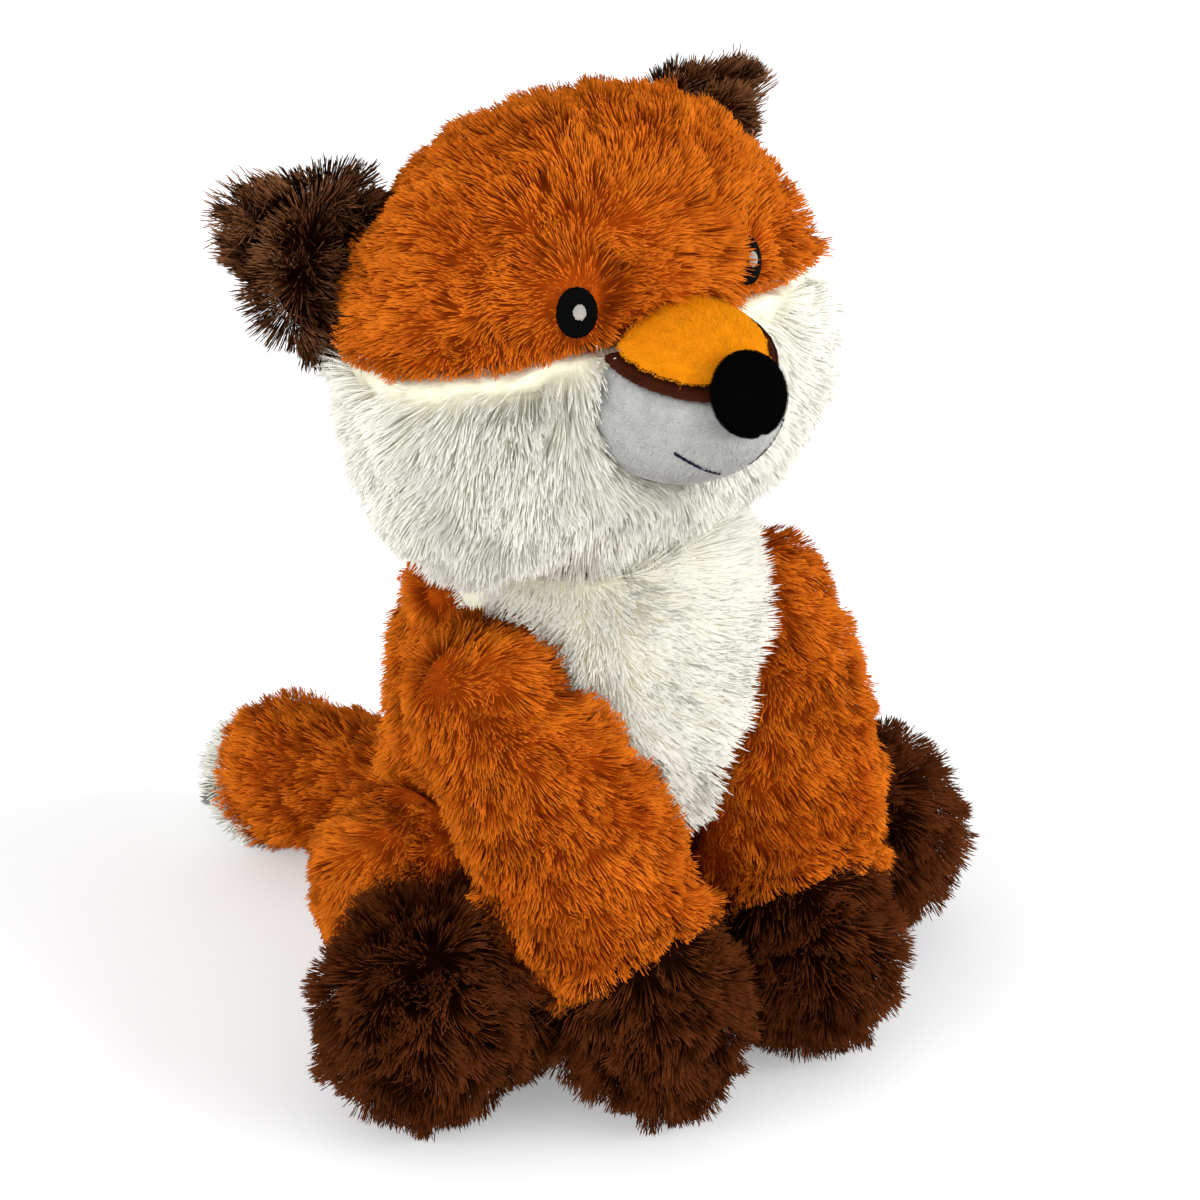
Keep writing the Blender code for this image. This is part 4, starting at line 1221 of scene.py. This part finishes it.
class FOX_OT_ears(bpy.types.Operator):
    """Makes the ears and their linings"""

    bl_idname = "fox.ears"
    bl_label = "Ears"

    def execute(self, context):
        pile, backing = ear_materials()
        onto_crown = leaning_to(["head_crown"], 16.0 * MM)
        for side, sign in SIDES.items():
            ear = f"ear_{side}"
            lining = f"ear_lining_{side}"
            root = Vector((sign * EAR_ROOT[0], EAR_ROOT[1], EAR_ROOT[2]))
            gather = (root, 0.8)
            skins = stuffed([ear], 4.0 * MM, 2.2 * MM, 1.0 * MM, 0.4, gather)
            skins.update(stuffed([lining], 2.0 * MM, 1.6 * MM, 0.6 * MM, 0.3, gather))
            inner = root - Vector((sign * 0.012, 0.0, 0.008))

            def ear_length(place):
                return min(1.4, 0.8 + (place - root).length / 0.07)

            def ear_comb(place):
                return (place - inner).normalized() + onto_crown(place) * 2.5

            for node, skin in skins.items():
                prepare_growth(skin, ear_comb, ear_length, shortest=0.8)
                grow(skin, node + "_pile", ear, ear_pile(), pile)
                finish_skin(skin, ear, backing)
        return {"FINISHED"}


class FOX_OT_front_legs(bpy.types.Operator):
    """Makes the front legs and their paws"""

    bl_idname = "fox.front_legs"
    bl_label = "Front legs"

    def execute(self, context):
        pile, backing = orange_materials()
        brown, brown_backing = brown_materials()
        to_bib = distance_to(["chest_bib"])
        onto_bib = leaning_to(["chest_bib"], LEG_OVER_BIB_REACH)

        def leg_comb(place):
            return LEG_FALL + onto_bib(place) * 1.8 if place.x < 0.0 else LEG_FALL

        def leg_length(place):
            if place.x < 0.0:
                return 1.0 + 0.2 * max(0.0, 1.0 - to_bib(place) / LEG_OVER_BIB_REACH)
            return min(1.0, 0.3 + max(0.0, to_bib(place) - 4.0 * MM) / (18.0 * MM))

        for side in SIDES:
            leg = f"front_leg_{side}"
            paw = f"front_paw_{side}"
            skins = stuffed([leg], 6.0 * MM, 3.6 * MM)
            skins.update(stuffed([paw], 8.0 * MM, 3.0 * MM))
            prepare_growth(skins[leg], leg_comb, leg_length)
            grow(skins[leg], f"{leg}_pile", leg, orange_pile(), pile)
            by_paws = fuller_by([f"hind_paw_{side}"], PAW_GAP_REACH, 0.5)
            prepare_growth(skins[paw], away_from(instep(paw), 0.3), by_paws, shortest=0.8)
            grow(skins[paw], f"{paw}_pile", leg, brown_pile(), brown)
            finish_skin(skins[leg], leg, backing)
            finish_skin(skins[paw], leg, brown_backing)
        return {"FINISHED"}


class FOX_OT_hind_legs(bpy.types.Operator):
    """Makes the hind legs and their paws"""

    bl_idname = "fox.hind_legs"
    bl_label = "Hind legs"

    def execute(self, context):
        pile, backing = orange_materials()
        brown, brown_backing = brown_materials()
        for side in SIDES:
            leg = f"hind_leg_{side}"
            paw = f"hind_paw_{side}"
            skins = stuffed([leg], 6.0 * MM, 3.6 * MM)
            skins.update(stuffed([paw], 8.0 * MM, 3.0 * MM))
            prepare_growth(skins[leg], away_from(NECK_MIDDLE, 0.9))
            grow(skins[leg], f"{leg}_pile", leg, orange_pile(), pile)
            by_paws = fuller_by([f"front_paw_{side}", f"front_leg_{side}"], PAW_GAP_REACH, 0.5)
            prepare_growth(skins[paw], away_from(instep(paw), 0.3), by_paws, shortest=0.8)
            grow(skins[paw], f"{paw}_pile", leg, brown_pile(), brown)
            finish_skin(skins[leg], leg, backing)
            finish_skin(skins[paw], leg, brown_backing)
        return {"FINISHED"}


class FOX_OT_tail(bpy.types.Operator):
    """Makes the tail and its white tip"""

    bl_idname = "fox.tail"
    bl_label = "Tail"

    def execute(self, context):
        pile, backing = orange_materials()
        white, white_backing = white_materials()
        skins = stuffed(["tail"], 6.0 * MM, 3.6 * MM)
        skins.update(stuffed(["tail_tip"], 6.0 * MM, 3.0 * MM))
        way = along(middle_of("tail_tip") - TAIL_ROOT)
        prepare_growth(skins["tail"], way)
        grow(skins["tail"], "tail_pile", "tail", orange_pile(), pile)
        prepare_growth(skins["tail_tip"], away_from(middle_of("tail")), shortest=0.8)
        tip_pile = replace(white_pile(), length=0.8 * white_pile().length, raised=0.7)
        grow(skins["tail_tip"], "tail_tip_pile", "tail", tip_pile, white)
        finish_skin(skins["tail"], "tail", backing)
        finish_skin(skins["tail_tip"], "tail", white_backing)
        return {"FINISHED"}


class FOX_PT_panel(bpy.types.Panel):
    """Lists the fox's settings and the pieces that it is made of"""

    bl_idname = "FOX_PT_panel"
    bl_label = "Plush Fox"
    bl_space_type = "VIEW_3D"
    bl_region_type = "UI"
    bl_category = PANEL_TAB

    def draw(self, context):
        column = self.layout.column()
        for operator in OPERATORS:
            column.operator(operator.bl_idname)
        for settings in (context.scene.fox_pile, context.scene.fox_colours, context.scene.fox_stage):
            for name in settings.__annotations__:
                column.prop(settings, name)


SETTINGS = {"fox_pile": FoxPileSettings, "fox_colours": FoxColourSettings, "fox_stage": FoxStageSettings}
OPERATORS = (
    FOX_OT_stage, FOX_OT_body, FOX_OT_head, FOX_OT_muzzle, FOX_OT_face, FOX_OT_ears,
    FOX_OT_front_legs, FOX_OT_hind_legs, FOX_OT_tail,
)


def register():
    for name, settings in SETTINGS.items():
        bpy.utils.register_class(settings)
        setattr(bpy.types.Scene, name, PointerProperty(type=settings))
    for operator in OPERATORS:
        bpy.utils.register_class(operator)
    bpy.utils.register_class(FOX_PT_panel)


def unregister():
    bpy.utils.unregister_class(FOX_PT_panel)
    for operator in reversed(OPERATORS):
        bpy.utils.unregister_class(operator)
    for name, settings in SETTINGS.items():
        delattr(bpy.types.Scene, name)
        bpy.utils.unregister_class(settings)


def main():
    register()
    bpy.ops.fox.stage()
    bpy.ops.fox.body()
    bpy.ops.fox.head()
    bpy.ops.fox.muzzle()
    bpy.ops.fox.face()
    bpy.ops.fox.ears()
    bpy.ops.fox.front_legs()
    bpy.ops.fox.hind_legs()
    bpy.ops.fox.tail()
    bpy.data.objects.remove(strand_mesh())


if __name__ == "__main__":
    main()
